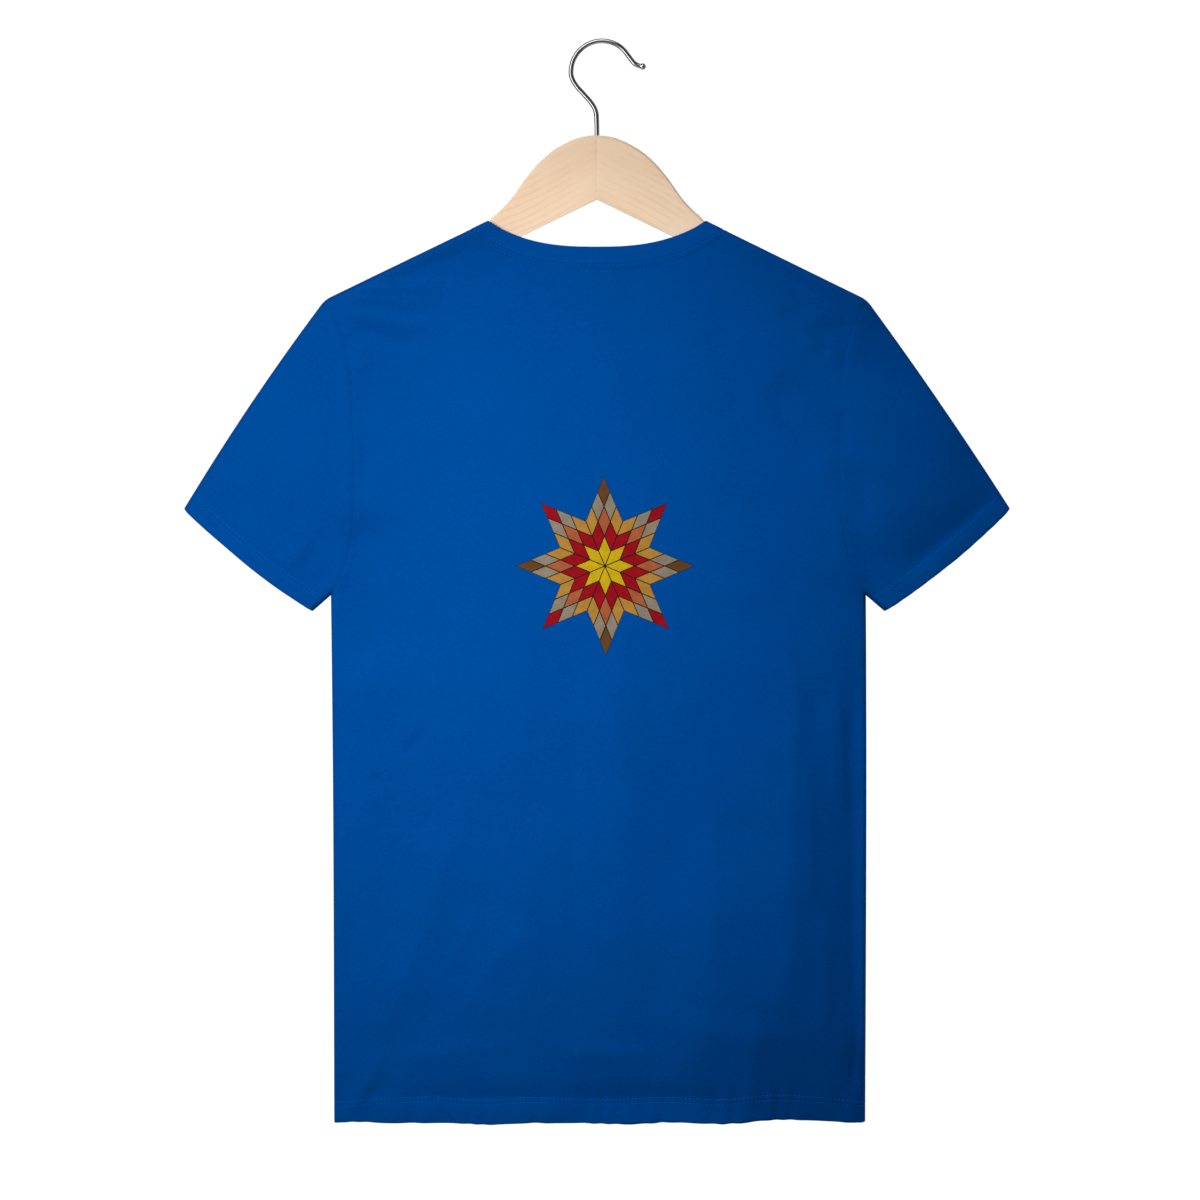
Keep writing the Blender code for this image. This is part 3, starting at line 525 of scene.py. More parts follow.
def upper_outline():
    """The top edge: collar corner, neck point, rounded shoulder tip, cuff."""
    tip = SHOULDER_TIP
    first = step_towards(tip, NECK_POINT, TIP_ROUNDING)
    last = step_towards(tip, CUFF_OUTER, TIP_ROUNDING)
    arc = [mix(mix(first, tip, t), mix(tip, last, t), t) for t in np.linspace(0.0, 1.0, 7)]
    across = CUFF_OUTER - last
    t = np.linspace(0.0, 1.0, 17)[1:, None]
    sleeve = last + across * t - unit(quarter_turn(across)) * SLEEVE_TOP_BOW * bow(t)
    return np.vstack([COLLAR_CORNER, NECK_POINT, *arc, sleeve])


def shoulder_path():
    path = upper_outline()[1:TIP_INDEX + 1]
    path[0] = step_towards(path[0], path[1], SEAM_GAP / 2)
    return path


def sleeve_top_path():
    return upper_outline()[TIP_INDEX:]


def outline_spans():
    """Start, run and inward direction of each straight span of the folded edges."""
    lower = np.array([(HALF_HEM, HEM_Z), UNDERARM, CUFF_INNER])
    starts, spans, inward = [], [], []
    for path, turn in ((extended(upper_outline()), 1), (extended(lower), -1)):
        starts.append(path[:-1])
        spans.append(np.diff(path, axis=0))
        inward.append(turn * unit(quarter_turn(spans[-1])))
    return np.vstack(starts), np.vstack(spans), np.vstack(inward)


def edge_distance(x, z):
    """Distance inward from the nearest folded edge, and the inward direction there."""
    starts, spans, inward = outline_spans()
    offset = offsets_from(starts, spans, np.abs(x), z)
    distances = norm(offset, axis=-1)
    closest = distances.argmin(axis=-1)[..., None]
    distance = np.take_along_axis(distances, closest, axis=-1)
    direction = np.take_along_axis(offset, closest[..., None], axis=-2)[..., 0, :]
    on_edge = (distances < ON_EDGE)[..., None] * inward
    direction = unit(np.where(distance < ON_EDGE, on_edge.sum(axis=-2), direction))
    distance = np.where(distance < ON_EDGE, 0.0, distance)[..., 0]
    return distance, direction[..., 0] * np.where(x < 0, -1.0, 1.0), direction[..., 1]


def neck_curve(side, angle, shoulder_point, drop, steepening=0.0):
    """A neckline by angle from the centre line; at +-90 degrees it meets the shoulder.

    A share of its drop, the steepening, falls close to the shoulder.
    """
    across = np.sin(angle)
    flat = np.abs(across)
    hang = 1.0 - mix(flat ** NECKLINES[side].corner, flat ** STEEP_POWER, steepening)
    return stacked(shoulder_point[0] * across, shoulder_point[1] - drop * hang)


def seam_curve(side, angle, away):
    """The neckband's seam, moved away from the neck opening by a distance."""
    shoulder_point = step_towards(NECK_POINT, SHOULDER_TIP, away)
    return neck_curve(side, angle, shoulder_point, NECKLINES[side].seam_drop + away)


def armhole_places(share):
    """The armhole seam on the +X half, from the underarm (0) to the shoulder tip (1)."""
    straight = mix(UNDERARM, upper_outline()[TIP_INDEX], share[..., None])
    inset = ARMHOLE_BOW * (1.0 - np.abs(2.0 * share - 1.0) ** ARMHOLE_FLATNESS)
    return straight - stacked(inset, 0.0 * inset)


def armhole_edge(away, shares):
    """The armhole moved out to the sleeve (away > 0) or in to the body."""
    places = armhole_places(shares)
    normals = unit(quarter_turn(np.gradient(places, axis=0)))
    moved = places + away * normals
    targets = (CUFF_INNER, CUFF_OUTER) if away > 0 else ((HALF_HEM, HEM_Z), NECK_POINT)
    for end, target in zip((0, -1), targets):
        heading = unit(target - places[end])
        moved[end] = places[end] + heading * abs(away / (heading @ normals[end]))
    if away > 0:
        moved[-1] = along_path(sleeve_top_path(), norm(moved[-1] - places[-1]))
    return moved


def cuff_places(share, depth):
    """Places along the cuff of the +X sleeve, at a depth in from its edge."""
    out = CUFF_BOW * bow(share) - depth
    return CUFF_INNER + share[..., None] * CUFF_ACROSS + out[..., None] * CUFF_OUTWARD


def cuff_depth(x, z):
    """How far in from the cuff's edge a place lies."""
    offset = stacked(np.abs(x), z) - CUFF_INNER
    share = np.clip(offset @ CUFF_ACROSS / (CUFF_ACROSS @ CUFF_ACROSS), 0.0, 1.0)
    return CUFF_BOW * bow(share) - offset @ CUFF_OUTWARD


def wave_sum(x, waves):
    return sum(wave.rise * bell(x - wave.x, wave.width) for wave in waves)


def hem_line(x):
    return HEM_Z + wave_sum(x, HEM_WAVES)


def hem_row(x, height):
    """Height of a row of hem stitches."""
    return hem_line(x) + height + wave_sum(x, ROW_WAVES)


# ---- the cloth's surface

# Where each seam's relief can show: below the first, above and outside the next two, and
# above and inside the last
HEM_ZONE = HEM_Z + 0.20
CUFF_ZONE = UNDERARM - (0.002, 0.05)
ARMHOLE_ZONE = (0.17, UNDERARM[1] - 0.02)
NECK_ZONE = NECK_POINT + (0.02, -0.13)


def fold_height(fold, x, z):
    """Height that one fold adds to the cloth at places (x, z)."""
    run = np.array([fold.x1 - fold.x0, fold.z1 - fold.z0])
    offset = stacked(x - fold.x0, z - fold.z0)
    share = offset @ run / (run @ run)
    sideways = -offset @ quarter_turn(unit(run)) - fold.bow * bow(share)
    crest = CREST_SHARE * (fold.left + fold.right) / 2
    spread = np.where(sideways < 0, fold.left, fold.right)
    fade = smooth_step(share / FOLD_FADE) * smooth_step((1 - share) / FOLD_FADE)
    return fold.height * np.exp(-(np.hypot(sideways, crest) - crest) / spread) * fade


def crispness(x, z):
    """How crisp a folded edge is: 0 over the hanger's arms, 1 elsewhere."""
    across = smooth_step((OVER_ARM_X - np.abs(x)) / OVER_ARM_FADE[0])
    return 1.0 - across * smooth_step((z - OVER_ARM_Z) / OVER_ARM_FADE[1])


def broad_depth(x, z, side):
    """Distance from the middle plane to the cloth, without seams and puckers."""
    across = np.clip(1.0 - (x / UNDERARM[0]) ** 2, 0.0, 1.0) ** FULLNESS_POWER
    depth = EDGE_DEPTH + across * smooth_curve(z, FULLNESS, 1 if side == BACK else 2)
    off_middle = (stacked(np.abs(x), z) - SLEEVE_MIDDLE) / SLEEVE_SPREAD
    depth = depth + SLEEVE_FULLNESS * np.exp(-(off_middle ** 2).sum(axis=-1))
    return depth + sum(fold_height(fold, x, z) for fold in FOLDS[side])


def undulation(x, z, side):
    height = np.zeros_like(x)
    for swell in SWELLS:
        heading = radians(swell.heading)
        travel = x * cos(heading) + z * sin(heading)
        height += swell.height * ripple(travel, swell.length, swell.phase + side)
    return height


def groove(offset):
    return -GROOVE_DEPTH * bell(offset, GROOVE_WIDTH)


def turned_relief(depth, rows):
    """Cloth turned up at an edge, a depth away, and its rows of stitches."""
    raised = BAND_RAISE * until(depth, rows[0], BAND_STEP)
    return raised + sum(groove(depth - row) for row in rows)


def hem_relief(x, z, side):
    """The turned hem, its two rows of stitches, and the puckers they make."""
    above = z - hem_line(x)
    depth = z - hem_row(x, 0.0)
    (much, long), (little, short) = PUCKER_DRIFTS
    travel = (x - PUCKER_SLANT * above) / PUCKER_PITCH
    travel = travel + much * ripple(x, long, side) + little * ripple(x, short)
    height = PUCKER_HEIGHT + wave_sum(x * -side, PUCKER_SWELLS)
    pucker = height * ripple(travel) * np.exp(-np.maximum(depth - HEM_ROWS[0], 0.0) / PUCKER_FADE)
    sway = HEM_SWAY * ripple(x, HEM_SWAY_LENGTH, HEM_SWAY_PHASE * side)
    sway = sway * bell(np.maximum(above, 0.0), HEM_SWAY_FADE)
    return pucker + sway + turned_relief(depth, HEM_ROWS)


def cuff_relief(x, z):
    """The turned cuff, its two rows of stitches and slight ripples."""
    depth = cuff_depth(x, z)
    travel = stacked(x, z) @ unit(CUFF_ACROSS) / CUFF_RIPPLE_LENGTH
    wavy = CUFF_RIPPLE * ripple(travel, phase=CUFF_RIPPLE_DRIFT * np.sin(travel))
    fade = np.exp(-np.maximum(depth - CUFF_ROWS[0], 0.0) / PUCKER_FADE)
    return turned_relief(depth, CUFF_ROWS) + wavy * fade


def armhole_relief(x, z):
    """The body dips into the armhole seam, the sleeve rises from it, and both pucker."""
    path = armhole_places(np.linspace(0.0, 1.0, 41))
    off = path_distance(path, np.abs(x), z)
    on_sleeve = np.abs(x) > np.interp(z, path[:, 1], path[:, 0])
    pucker = SEAM_PUCKER * ripple(z, SEAM_PUCKER_PITCH, 2 * np.sin(z / SEAM_PUCKER_DRIFT))
    pucker = pucker * bell(off - SEAM_PUCKER_AT, SEAM_PUCKER_WIDTH)
    rise = SEAM_RAISE * (1 - bell(off, SEAM_RISE_WIDTH)) * np.exp(-off / SEAM_RAISE_WIDTH)
    return pucker + np.where(on_sleeve, rise, -SEAM_TUCK * bell(off, SEAM_TUCK_WIDTH))


def neck_relief(x, z, side):
    """What shows below the neckband: the tape and label inside, or a row of stitches."""
    off = path_distance(seam_curve(side, half_turn(161), 0.0), x, z)
    if side == FRONT:
        return groove(off - FRONT_NECK_ROW) - SEAM_TUCK * bell(off, SEAM_TUCK_WIDTH)
    ridge = TAPE_RAISE * smooth_step(off / TAPE_START) * until(off, TAPE_WIDTH, TAPE_END)
    ridge = ridge - TAPE_GROOVE * bell(off - TAPE_WIDTH - TAPE_END, TAPE_END)
    label = until(np.abs(x), LABEL_HALF_WIDTH, TAPE_END) * until(off, LABEL_BOTTOM, TAPE_END)
    return ridge + groove(off - NECK_ROW) + LABEL_RAISE * label


def fine_relief(x, z, side):
    """Undulation, and near each seam what it does to the cloth."""
    relief = undulation(x, z, side)
    out = np.abs(x)
    zones = (
        (z < HEM_ZONE, hem_relief, (side,)),
        ((out > CUFF_ZONE[0]) & (z > CUFF_ZONE[1]), cuff_relief, ()),
        ((out > ARMHOLE_ZONE[0]) & (z > ARMHOLE_ZONE[1]), armhole_relief, ()),
        ((out < NECK_ZONE[0]) & (z > NECK_ZONE[1]), neck_relief, (side,)),
    )
    for inside, detail, extra in zones:
        if inside.any():
            relief[inside] += detail(x[inside], z[inside], *extra)
    return relief


def cloth_points(places, side, fine=True):
    """Points and outward normals of the cloth that stands over flat places (x, z)."""
    def depth_at(x, z):
        depth = broad_depth(x, z, side) - narrowing
        least = mix(ARM_DEPTH, LEAST_DEPTH, crispness(x, z))
        depth = least + DEPTH_EASE * np.logaddexp(0.0, (depth - least) / DEPTH_EASE)
        return depth + fine_relief(x, z, side) if fine else depth

    x, z = places[..., 0], places[..., 1]
    step = SLOPE_STEP
    distance, inward_x, inward_z = edge_distance(x, z)
    narrowing = (EDGE_DEPTH - CRISP_DEPTH) * crispness(x, z) * np.exp(-distance / CRISP_REACH)
    depth = depth_at(x, z)
    slope_x = (depth_at(x + step, z) - depth_at(x - step, z)) / (2 * step)
    slope_z = (depth_at(x, z + step) - depth_at(x, z - step)) / (2 * step)
    slope_x = slope_x + narrowing / CRISP_REACH * inward_x
    slope_z = slope_z + narrowing / CRISP_REACH * inward_z
    level = np.minimum(distance / EDGE_ROUNDING, 1.0)
    rise = np.sqrt(1.0 - (1.0 - level) ** 2)
    lean = (1.0 - level) / EDGE_ROUNDING
    normal = stacked(-lean * inward_x - rise ** 2 / depth * slope_x,
                     side * rise / depth,
                     -lean * inward_z - rise ** 2 / depth * slope_z)
    return stacked(x + smooth_curve(z, SWINGS), side * depth * rise, z), unit(normal)


def on_panel(places, side, lift=0.0, fine=True):
    """Points lifted off a panel's outside, and the normals there."""
    points, normals = cloth_points(places, side, fine)
    points[..., 1] -= side * SIDE_LAP / 2
    return points + normals * lift, normals


# ---- flat layouts

def rounding_stations(fineness):
    """Distances in from a folded edge, evenly around its rounding, edge excluded."""
    angles = np.linspace(0.0, pi / 2, fineness + 1)[1:]
    return EDGE_ROUNDING * (1.0 - np.cos(angles))


def shares_out(length, fineness):
    """Shares of a length, a pitch apart and closer around the rounding of the edge at its end."""
    dense = 1.0 - rounding_stations(fineness)[::-1] / length
    return np.concatenate([stations((0.0, dense[0], PITCH / length)), dense[1:], [1.0]])


def neck_columns(side):
    """Angle, and share of the way out, of a panel's columns from centre line to neck point."""
    angles = np.linspace(0.0, pi / 2, 721)
    lengths = travelled(seam_curve(side, angles, 0.0))
    shares = shares_out(lengths[-1], 6)
    return np.interp(shares, lengths / lengths[-1], angles), shares


def armhole_shares():
    """Shares of the way up the armhole, an odd count of them, closer at both ends."""
    height = SHOULDER_TIP[1] - UNDERARM[1]
    low = rounding_stations(7) / height
    high = 1.0 - stations(*SHOULDER_STATIONS)[::-1] / height
    between = (low[-1], high[0], PITCH / height)
    return with_odd_count(np.concatenate([[0.0], low, stations(between)[1:-1], high]))


def mirrored(right_half):
    left_half = right_half[..., :0:-1, :] * (-1.0, 1.0)
    return np.concatenate([left_half, right_half], axis=-2)


def panel_places(side):
    """Flat grid of a front or back panel: rows from the hem up, columns from -X to +X."""
    angles, neck_shares = neck_columns(side)
    shoulder = shoulder_path()
    neck_x = NECKLINES[side].underarm_x
    room = HALF_HEM - neck_x
    spread = shares_out(room, 8)[1:]
    top = mirrored(np.vstack([seam_curve(side, angles, SEAM_GAP / 2),
                              along_path(shoulder, spread * travelled(shoulder)[-1])]))
    half_x = np.concatenate([neck_x * neck_shares, neck_x + room * spread])
    x = mirrored(stacked(half_x, half_x))[:, 0]
    hem = stacked(x, hem_line(x) + HEM_CLOTH / 2)
    middle = stacked(x * UNDERARM[0] / HALF_HEM, np.full_like(x, UNDERARM[1]))
    height = UNDERARM[1] - HEM_Z
    lower = stations(*HEM_STATIONS, (HEM_STATIONS[-1][1], height, PITCH)) / height
    body = mix(hem[None], middle[None], with_odd_count(lower)[:, None, None])
    shares = armhole_shares()
    seam = armhole_edge(-SEAM_GAP / 2, shares)
    shares = shares[1:]
    straight = mix(middle[-1], top[-1], shares[:, None])
    inset = armhole_places(shares)[:, 0] - straight[:, 0]
    yoke = mix(middle[None], top[None], shares[:, None, None])
    yoke[..., 0] += inset[:, None] * (x / HALF_HEM)[None, :] ** 3
    places = np.concatenate([body, yoke])
    places[-len(seam):, -1] = seam
    places[-len(seam):, 0] = seam * (-1.0, 1.0)
    return places


def sleeve_places():
    """Flat grid of the +X sleeve: rings from the cuff in, each from underarm to top."""
    shares = armhole_shares()
    armhole = armhole_edge(SEAM_GAP / 2, shares)
    cuff = cuff_places(shares, HEM_CLOTH / 2)
    reach = norm(cuff - armhole, axis=-1)
    band = stations(*CUFF_STATIONS)
    inner = with_odd_count(stations(*SLEEVE_STATIONS))[1:]
    rings = [1.0 - depth / reach for depth in with_odd_count(band)]
    rings += [(1.0 - band[-1] / reach) * (1.0 - step) for step in inner]
    rings = np.array(rings)
    places = mix(armhole[None], cuff[None], rings[..., None])
    top = sleeve_top_path()
    start = norm(armhole[-1] - top[0])
    end = travelled(top)[-1] - HEM_CLOTH / 2
    targets = along_path(top, mix(start, end, rings[:, -1]))
    return places + shares[:, None] * (targets - places[:, -1])[:, None]


def layout_area(places):
    along = places[1:, :-1] - places[:-1, 1:]
    across = places[1:, 1:] - places[:-1, :-1]
    return 0.5 * np.abs(along[..., 0] * across[..., 1] - along[..., 1] * across[..., 0]).sum()


# ---- meshes

def add_object(data):
    item = bpy.data.objects.new(data.name, data)
    bpy.context.scene.collection.objects.link(item)
    return item


def add_mesh(name, points, faces, material, sharp=CLOTH_SHARP):
    mesh = bpy.data.meshes.new(name)
    mesh.from_pydata([tuple(point) for point in points], [], faces)
    mesh.materials.append(material)
    work = bmesh.new()
    work.from_mesh(mesh)
    bmesh.ops.recalc_face_normals(work, faces=work.faces)
    work.to_mesh(mesh)
    work.free()
    mesh.shade_smooth()
    mesh.set_sharp_from_angle(angle=radians(sharp))
    return add_object(mesh)


def quads_between(first, second):
    """Quads that join two equal rows of point numbers."""
    quads = stacked(first[..., :-1], first[..., 1:], second[..., 1:], second[..., :-1])
    return quads.reshape(-1, 4).tolist()


def join_coarse(coarse, fine):
    """Faces that join a row to one with two points for each of its steps."""
    return stacked(coarse[:-1], coarse[1:], fine[2::2], fine[1:-1:2], fine[:-2:2]).tolist()


def rounded_rim(outer, inner):
    """Rows around the edge of a wall at its first row, from the inside to the outside."""
    middle = (outer[0] + inner[0]) / 2
    half = inner[0] - middle
    away = outer[0] - outer[1]
    away = unit(away - unit(half) * (away * unit(half)).sum(axis=-1, keepdims=True))
    away = away * norm(half, axis=-1, keepdims=True)
    angles = np.linspace(0.0, pi, 7)[1:-1, None, None]
    return middle + half * np.cos(angles) + away * np.sin(angles)


def add_wall(name, outer, inner, is_closed, material):
    """A wall of cloth: a fine outside, a coarser inside, rounded over at the first row.

    Both grids have an odd count of rows, and an odd count of columns, or an even one when
    the wall is closed round on itself.
    """
    skin = np.concatenate([rounded_rim(outer, inner), outer])
    points = [skin.reshape(-1, 3), inner[::2, ::2].reshape(-1, 3)]
    numbers = np.arange(len(points[0])).reshape(skin.shape[:2])
    inside = len(points[0]) + np.arange(len(points[1])).reshape(inner[::2, ::2].shape[:2])
    if is_closed:
        numbers, inside = closed(numbers), closed(inside)
    faces = quads_between(numbers[:-1], numbers[1:]) + quads_between(inside[:-1], inside[1:])
    faces += join_coarse(inside[0], numbers[0]) + join_coarse(inside[-1], numbers[-1])
    if not is_closed:
        rim = len(skin) - len(outer)
        for side in (0, -1):
            faces += join_coarse(inside[:, side], numbers[rim:, side])
            faces.append([inside[0, side], *numbers[:rim + 1, side].tolist()])
    return add_mesh(name, np.concatenate(points), faces, material)


def inside_of(outer, smooth, normals, beyond):
    """The inside of a cloth, thicker where it is turned up, which is until beyond is 0.

    It moves in wherever a hollow in the outside comes too close to it.
    """
    turned = until(beyond, TURN_STEP, TURN_STEP)
    inner = smooth - normals * mix(CLOTH, HEM_CLOTH, turned)[..., None]
    thickness = ((outer - inner) * normals).sum(axis=-1, keepdims=True)
    return inner - normals * np.maximum(LEAST_CLOTH - thickness, 0.0)


def add_panel(name, side, material):
    places = panel_places(side)
    outer, _ = on_panel(places, side)
    smooth, normals = on_panel(places, side, fine=False)
    above = places[..., 1] - hem_line(places[..., 0])
    inner = inside_of(outer, smooth, normals, above - HEM_DEPTH)
    return add_wall(name, outer, inner, False, material), layout_area(places)


def add_sleeve(name, hand, material):
    places = sleeve_places() * (hand, 1.0)
    layers = []
    for fine in (True, False):
        back, front = (cloth_points(places, side, fine) for side in (BACK, FRONT))
        layers += [np.concatenate([near, far[:, -2:0:-1]], axis=1)
                   for near, far in zip(back, front)]
    outer, _, smooth, normals = layers
    depth = cuff_depth(smooth[..., 0], smooth[..., 2])
    inner = inside_of(outer, smooth, normals, depth - CUFF_DEPTH)
    return add_wall(name, outer, inner, True, material), 2 * layout_area(places)


def band_places(side, angle, share):
    """Places across the neckband: share 0 is its free edge and 1 its seam."""
    edge = neck_curve(side, angle, COLLAR_CORNER, NECKLINES[side].edge_drop, COLLAR_STEEPENING)
    return mix(edge, seam_curve(side, angle, -SEAM_GAP / 2), share)


def band_ring():
    """Side and angle of each column around the neckband, and its whole length."""
    angles = half_turn(2881)
    back, front = (travelled(cloth_points(band_places(side, angles, 0.5), side, fine=False)[0])
                   for side in (BACK, FRONT))
    whole = back[-1] + front[-1]
    count = RIB_COLUMNS * round(whole / RIB_PITCH)
    distance = np.arange(count) * whole / count
    on_back = distance < back[-1]
    angle = np.where(on_back, np.interp(distance, back, angles),
                     np.interp(whole - distance, front, angles))
    return on_back, angle, whole


def band_stand(share, width):
    """How far the neckband's outside stands off the cloth surface, without its ribs."""
    tuck = BAND_TUCK * bell(np.maximum(1 - share, 0.0) * width, BAND_TUCK_WIDTH)
    return BAND_STAND - tuck - BAND_SINK * smooth_step((share - 1) * 2 / BAND_OVERLAP)


def add_neckband(name, material):
    on_back, angle, whole = band_ring()
    neckline = NECKLINES[BACK]
    width = COLLAR_CORNER[1] - NECK_POINT[1] + neckline.seam_drop - neckline.edge_drop
    rib = np.cos(tau * np.arange(len(angle)) / RIB_COLUMNS)
    rib = RIB_HEIGHT * (np.sign(rib) * np.abs(rib) ** RIB_SQUARENESS - 1) / 2
    outer, inner = [], []
    for share in stations(*BAND_STATIONS):
        back, front = (cloth_points(band_places(side, angle, share), side, fine=False)
                       for side in (BACK, FRONT))
        points, normals = np.where(on_back[:, None], back, front)
        stand = band_stand(share, width)
        outer.append(points + normals * (stand + rib)[:, None])
        inner.append(points + normals * (stand - BAND_THICKNESS - RIB_INSIDE * rib)[:, None])
    return add_wall(name, np.array(outer), np.array(inner), True, material), whole, width


def tube_faces(rings, sides, base=0):
    """Faces of a tube of rings of points, closed at both ends."""
    numbers = base + np.arange(rings * sides).reshape(rings, sides)
    around = closed(numbers)
    return quads_between(around[:-1], around[1:]) + numbers[[0, -1]].tolist()


def add_stitches(name, rows, material, seed):
    """Rows of separate stitches; a row is its path of points and the cloth's normals there."""
    random = np.random.default_rng(seed)
    points, faces = [], []
    turns = np.linspace(0.0, tau, THREAD_SIDES, endpoint=False)[:, None]
    shares = np.linspace(0.0, 1.0, THREAD_RINGS)
    arch = np.sin(pi * np.clip(shares, THREAD_END, 1 - THREAD_END))
    radius = THREAD_RADIUS * mix(THREAD_TIP, 1.0, arch ** 0.5)
    for path, normals in rows:
        length = travelled(path)[-1]
        count = int(length / STITCH_PITCH)
        for number in range(count):
            share = STITCH_SHARE + random.uniform(-STITCH_SPREAD, STITCH_SPREAD)
            slant = random.uniform(-STITCH_SLANT, STITCH_SLANT) * (2 * shares - 1)
            distance = (number + 0.5) * length / count + (shares - 0.5) * STITCH_PITCH * share
            line = along_path(path, distance)
            up = unit(along_path(path, distance, normals))
            beside = np.cross(unit(np.gradient(line, axis=0)), up)
            lift = up * (THREAD_RISE * arch - THREAD_SINK)[:, None] + beside * slant[:, None]
            line = line + THREAD_RADIUS * lift
            ring = up[:, None] * np.sin(turns) + beside[:, None] * np.cos(turns)
            faces += tube_faces(THREAD_RINGS, THREAD_SIDES, len(points))
            points.extend((line[:, None] + ring * radius[:, None, None]).reshape(-1, 3))
    return add_mesh(name, points, faces, material, THREAD_SHARP)


# ---- rows of stitches

def hem_stitch_rows(side):
    x = np.linspace(-HALF_HEM + ROW_END, HALF_HEM - ROW_END, 900)
    return [on_panel(stacked(x, hem_row(x, row)), side) for row in HEM_ROWS]


def cuff_stitch_rows(hand):
    """Both rows go all the way round a cuff, over its back and front."""
    rows = []
    for row in CUFF_ROWS:
        places = cuff_places(np.linspace(CUFF_ROW_END, 1 - CUFF_ROW_END, 300), row) * (hand, 1.0)
        places = places[edge_distance(places[:, 0], places[:, 1])[0] > 10 * ON_EDGE]
        rows += [cloth_points(places, side) for side in (BACK, FRONT)]
    return rows


def neck_stitch_rows():
    """The rows on each side of the neck seam, and the outline of the label behind it."""
    angles = half_turn(700) * (1 - NECK_ROW_END)
    rows = [on_panel(seam_curve(BACK, angles, NECK_ROW), BACK),
            on_panel(seam_curve(FRONT, angles, FRONT_NECK_ROW), FRONT)]
    for side in (BACK, FRONT):
        points, normals = cloth_points(seam_curve(side, angles, -BAND_ROW), side, fine=False)
        rows.append((points + normals * (BAND_STAND - RIB_HEIGHT / 2), normals))
    top = NECK_POINT[1] - NECKLINES[BACK].seam_drop - LABEL_ROW_IN
    bottom = top - LABEL_ROW_HEIGHT
    half = LABEL_HALF_WIDTH - LABEL_ROW_IN
    label = [((-half, top), (-half, bottom), 20), ((half, top), (half, bottom), 20),
             ((-LABEL_HALF_WIDTH, bottom), (LABEL_HALF_WIDTH, bottom), 60)]
    return rows + [on_panel(np.linspace(*line), BACK) for line in label]


# ---- print

def rhombus_grid(corners, steps):
    """Flat grid of places over a rhombus."""
    share = np.linspace(0.0, 1.0, steps + 1)
    low = mix(corners[0], corners[1], share[:, None])
    high = mix(corners[3], corners[2], share[:, None])
    return mix(low[:, None], high[:, None], share[None, :, None])


def star_rhombi():
    """Corner places of the star's large rhombi: centre, side, tip, side."""
    side = PRINT_RADIUS / (2 * cos(pi / STAR_POINTS))
    turns = tau * (np.arange(STAR_POINTS + 1) - 0.5) / STAR_POINTS
    ways = side * stacked(np.sin(turns), np.cos(turns))
    return [np.array([0 * first, first, first + second, second]) + PRINT_CENTRE
            for first, second in zip(ways, ways[1:])]


def cell_inks():
    """Rhombic cells of the star, moved in from their edges and grouped by ink."""
    cells = {}
    for point, corners in enumerate(star_rhombi()):
        grid = rhombus_grid(corners, STAR_CELLS)
        for i in range(STAR_CELLS):
            for j in range(STAR_CELLS):
                cell = np.array([grid[i, j], grid[i + 1, j], grid[i + 1, j + 1], grid[i, j + 1]])
                middle = cell.mean(axis=0)
                gap = abs((middle - cell[0]) @ quarter_turn(unit(cell[1] - cell[0])))
                ink = CELL_INKS[i + j]
                if ink == "gold" and i == j:
                    ink = "terracotta"
                if i + j == 4 and point % 2:
                    ink = "crimson"
                cells.setdefault(ink, []).append(mix(middle, cell, 1 - CELL_INSET / gap))
    return cells


def add_ink(name, rhombi, steps, lift, material):
    """Thin patches of ink over the back panel, one for each rhombus."""
    points, faces = [], []
    for corners in rhombi:
        places = rhombus_grid(corners, steps)
        layer = (steps + 1) ** 2
        index = np.arange(layer).reshape(steps + 1, steps + 1) + len(points)
        for height in (lift, lift - INK_THICKNESS):
            points.extend(on_panel(places, BACK, height)[0].reshape(-1, 3))
        for sheet in (index, index + layer):
            faces += quads_between(sheet[:-1], sheet[1:])
        ring = np.concatenate([index[0], index[1:, -1], index[-1, -2::-1], index[-2::-1, 0]])
        faces += quads_between(ring, ring + layer)
    return add_mesh(name, points, faces, material)


def add_print():
    pieces = [add_ink("print_ground", star_rhombi(), INK_STEPS * STAR_CELLS, GROUND_LIFT,
                      ink_material("outline"))]
    for ink, cells in sorted(cell_inks().items()):
        pieces.append(add_ink("print_" + ink, cells, INK_STEPS, CELL_LIFT, ink_material(ink)))
    return pieces


# ---- hanger

def arm_end():
    """The rounded end of the hanger's arm on the +X half, from its top round to below."""
    start, tip = COLLAR_CORNER - (0.0, ARM_CLEARANCE), SHOULDER_TIP - (0.0, ARM_CLEARANCE)
    along = unit(tip - start)
    share = (ARM_END_X - start[0]) / (tip[0] - start[0])
    centre = mix(start, tip, share) - ARM_END_DEPTH / 2
    turns = np.linspace(0.0, pi, 16)[:, None]
    return centre + ARM_END_DEPTH / 2 * (np.sin(turns) * along
                                         - np.cos(turns) * quarter_turn(along))


def wood_sections():
    """Top and bottom places of the upright sections of the hanger's +X half."""
    end = arm_end()
    crest = np.vstack([curve_through(WOOD_CREST, 6), end[:1]])
    knee = (ARM_KNEE_X, WOOD_APEX_Z - WOOD_UNDER_SLOPE * ARM_KNEE_X)
    under = np.array([(0.0, WOOD_APEX_Z), knee, end[-1]])
    share = stations((0.0, 0.0010, 0.0010), (0.0010, 1.0, WOOD_PITCH / end[0, 0]))
    tops, bottoms = (stacked(share * path[-1, 0],
                             np.interp(share * path[-1, 0], path[:, 0], path[:, 1]))
                     for path in (crest, under))
    half = len(end) // 2
    return np.vstack([tops, end[1:half]]), np.vstack([bottoms, end[-2:half - 1:-1]])


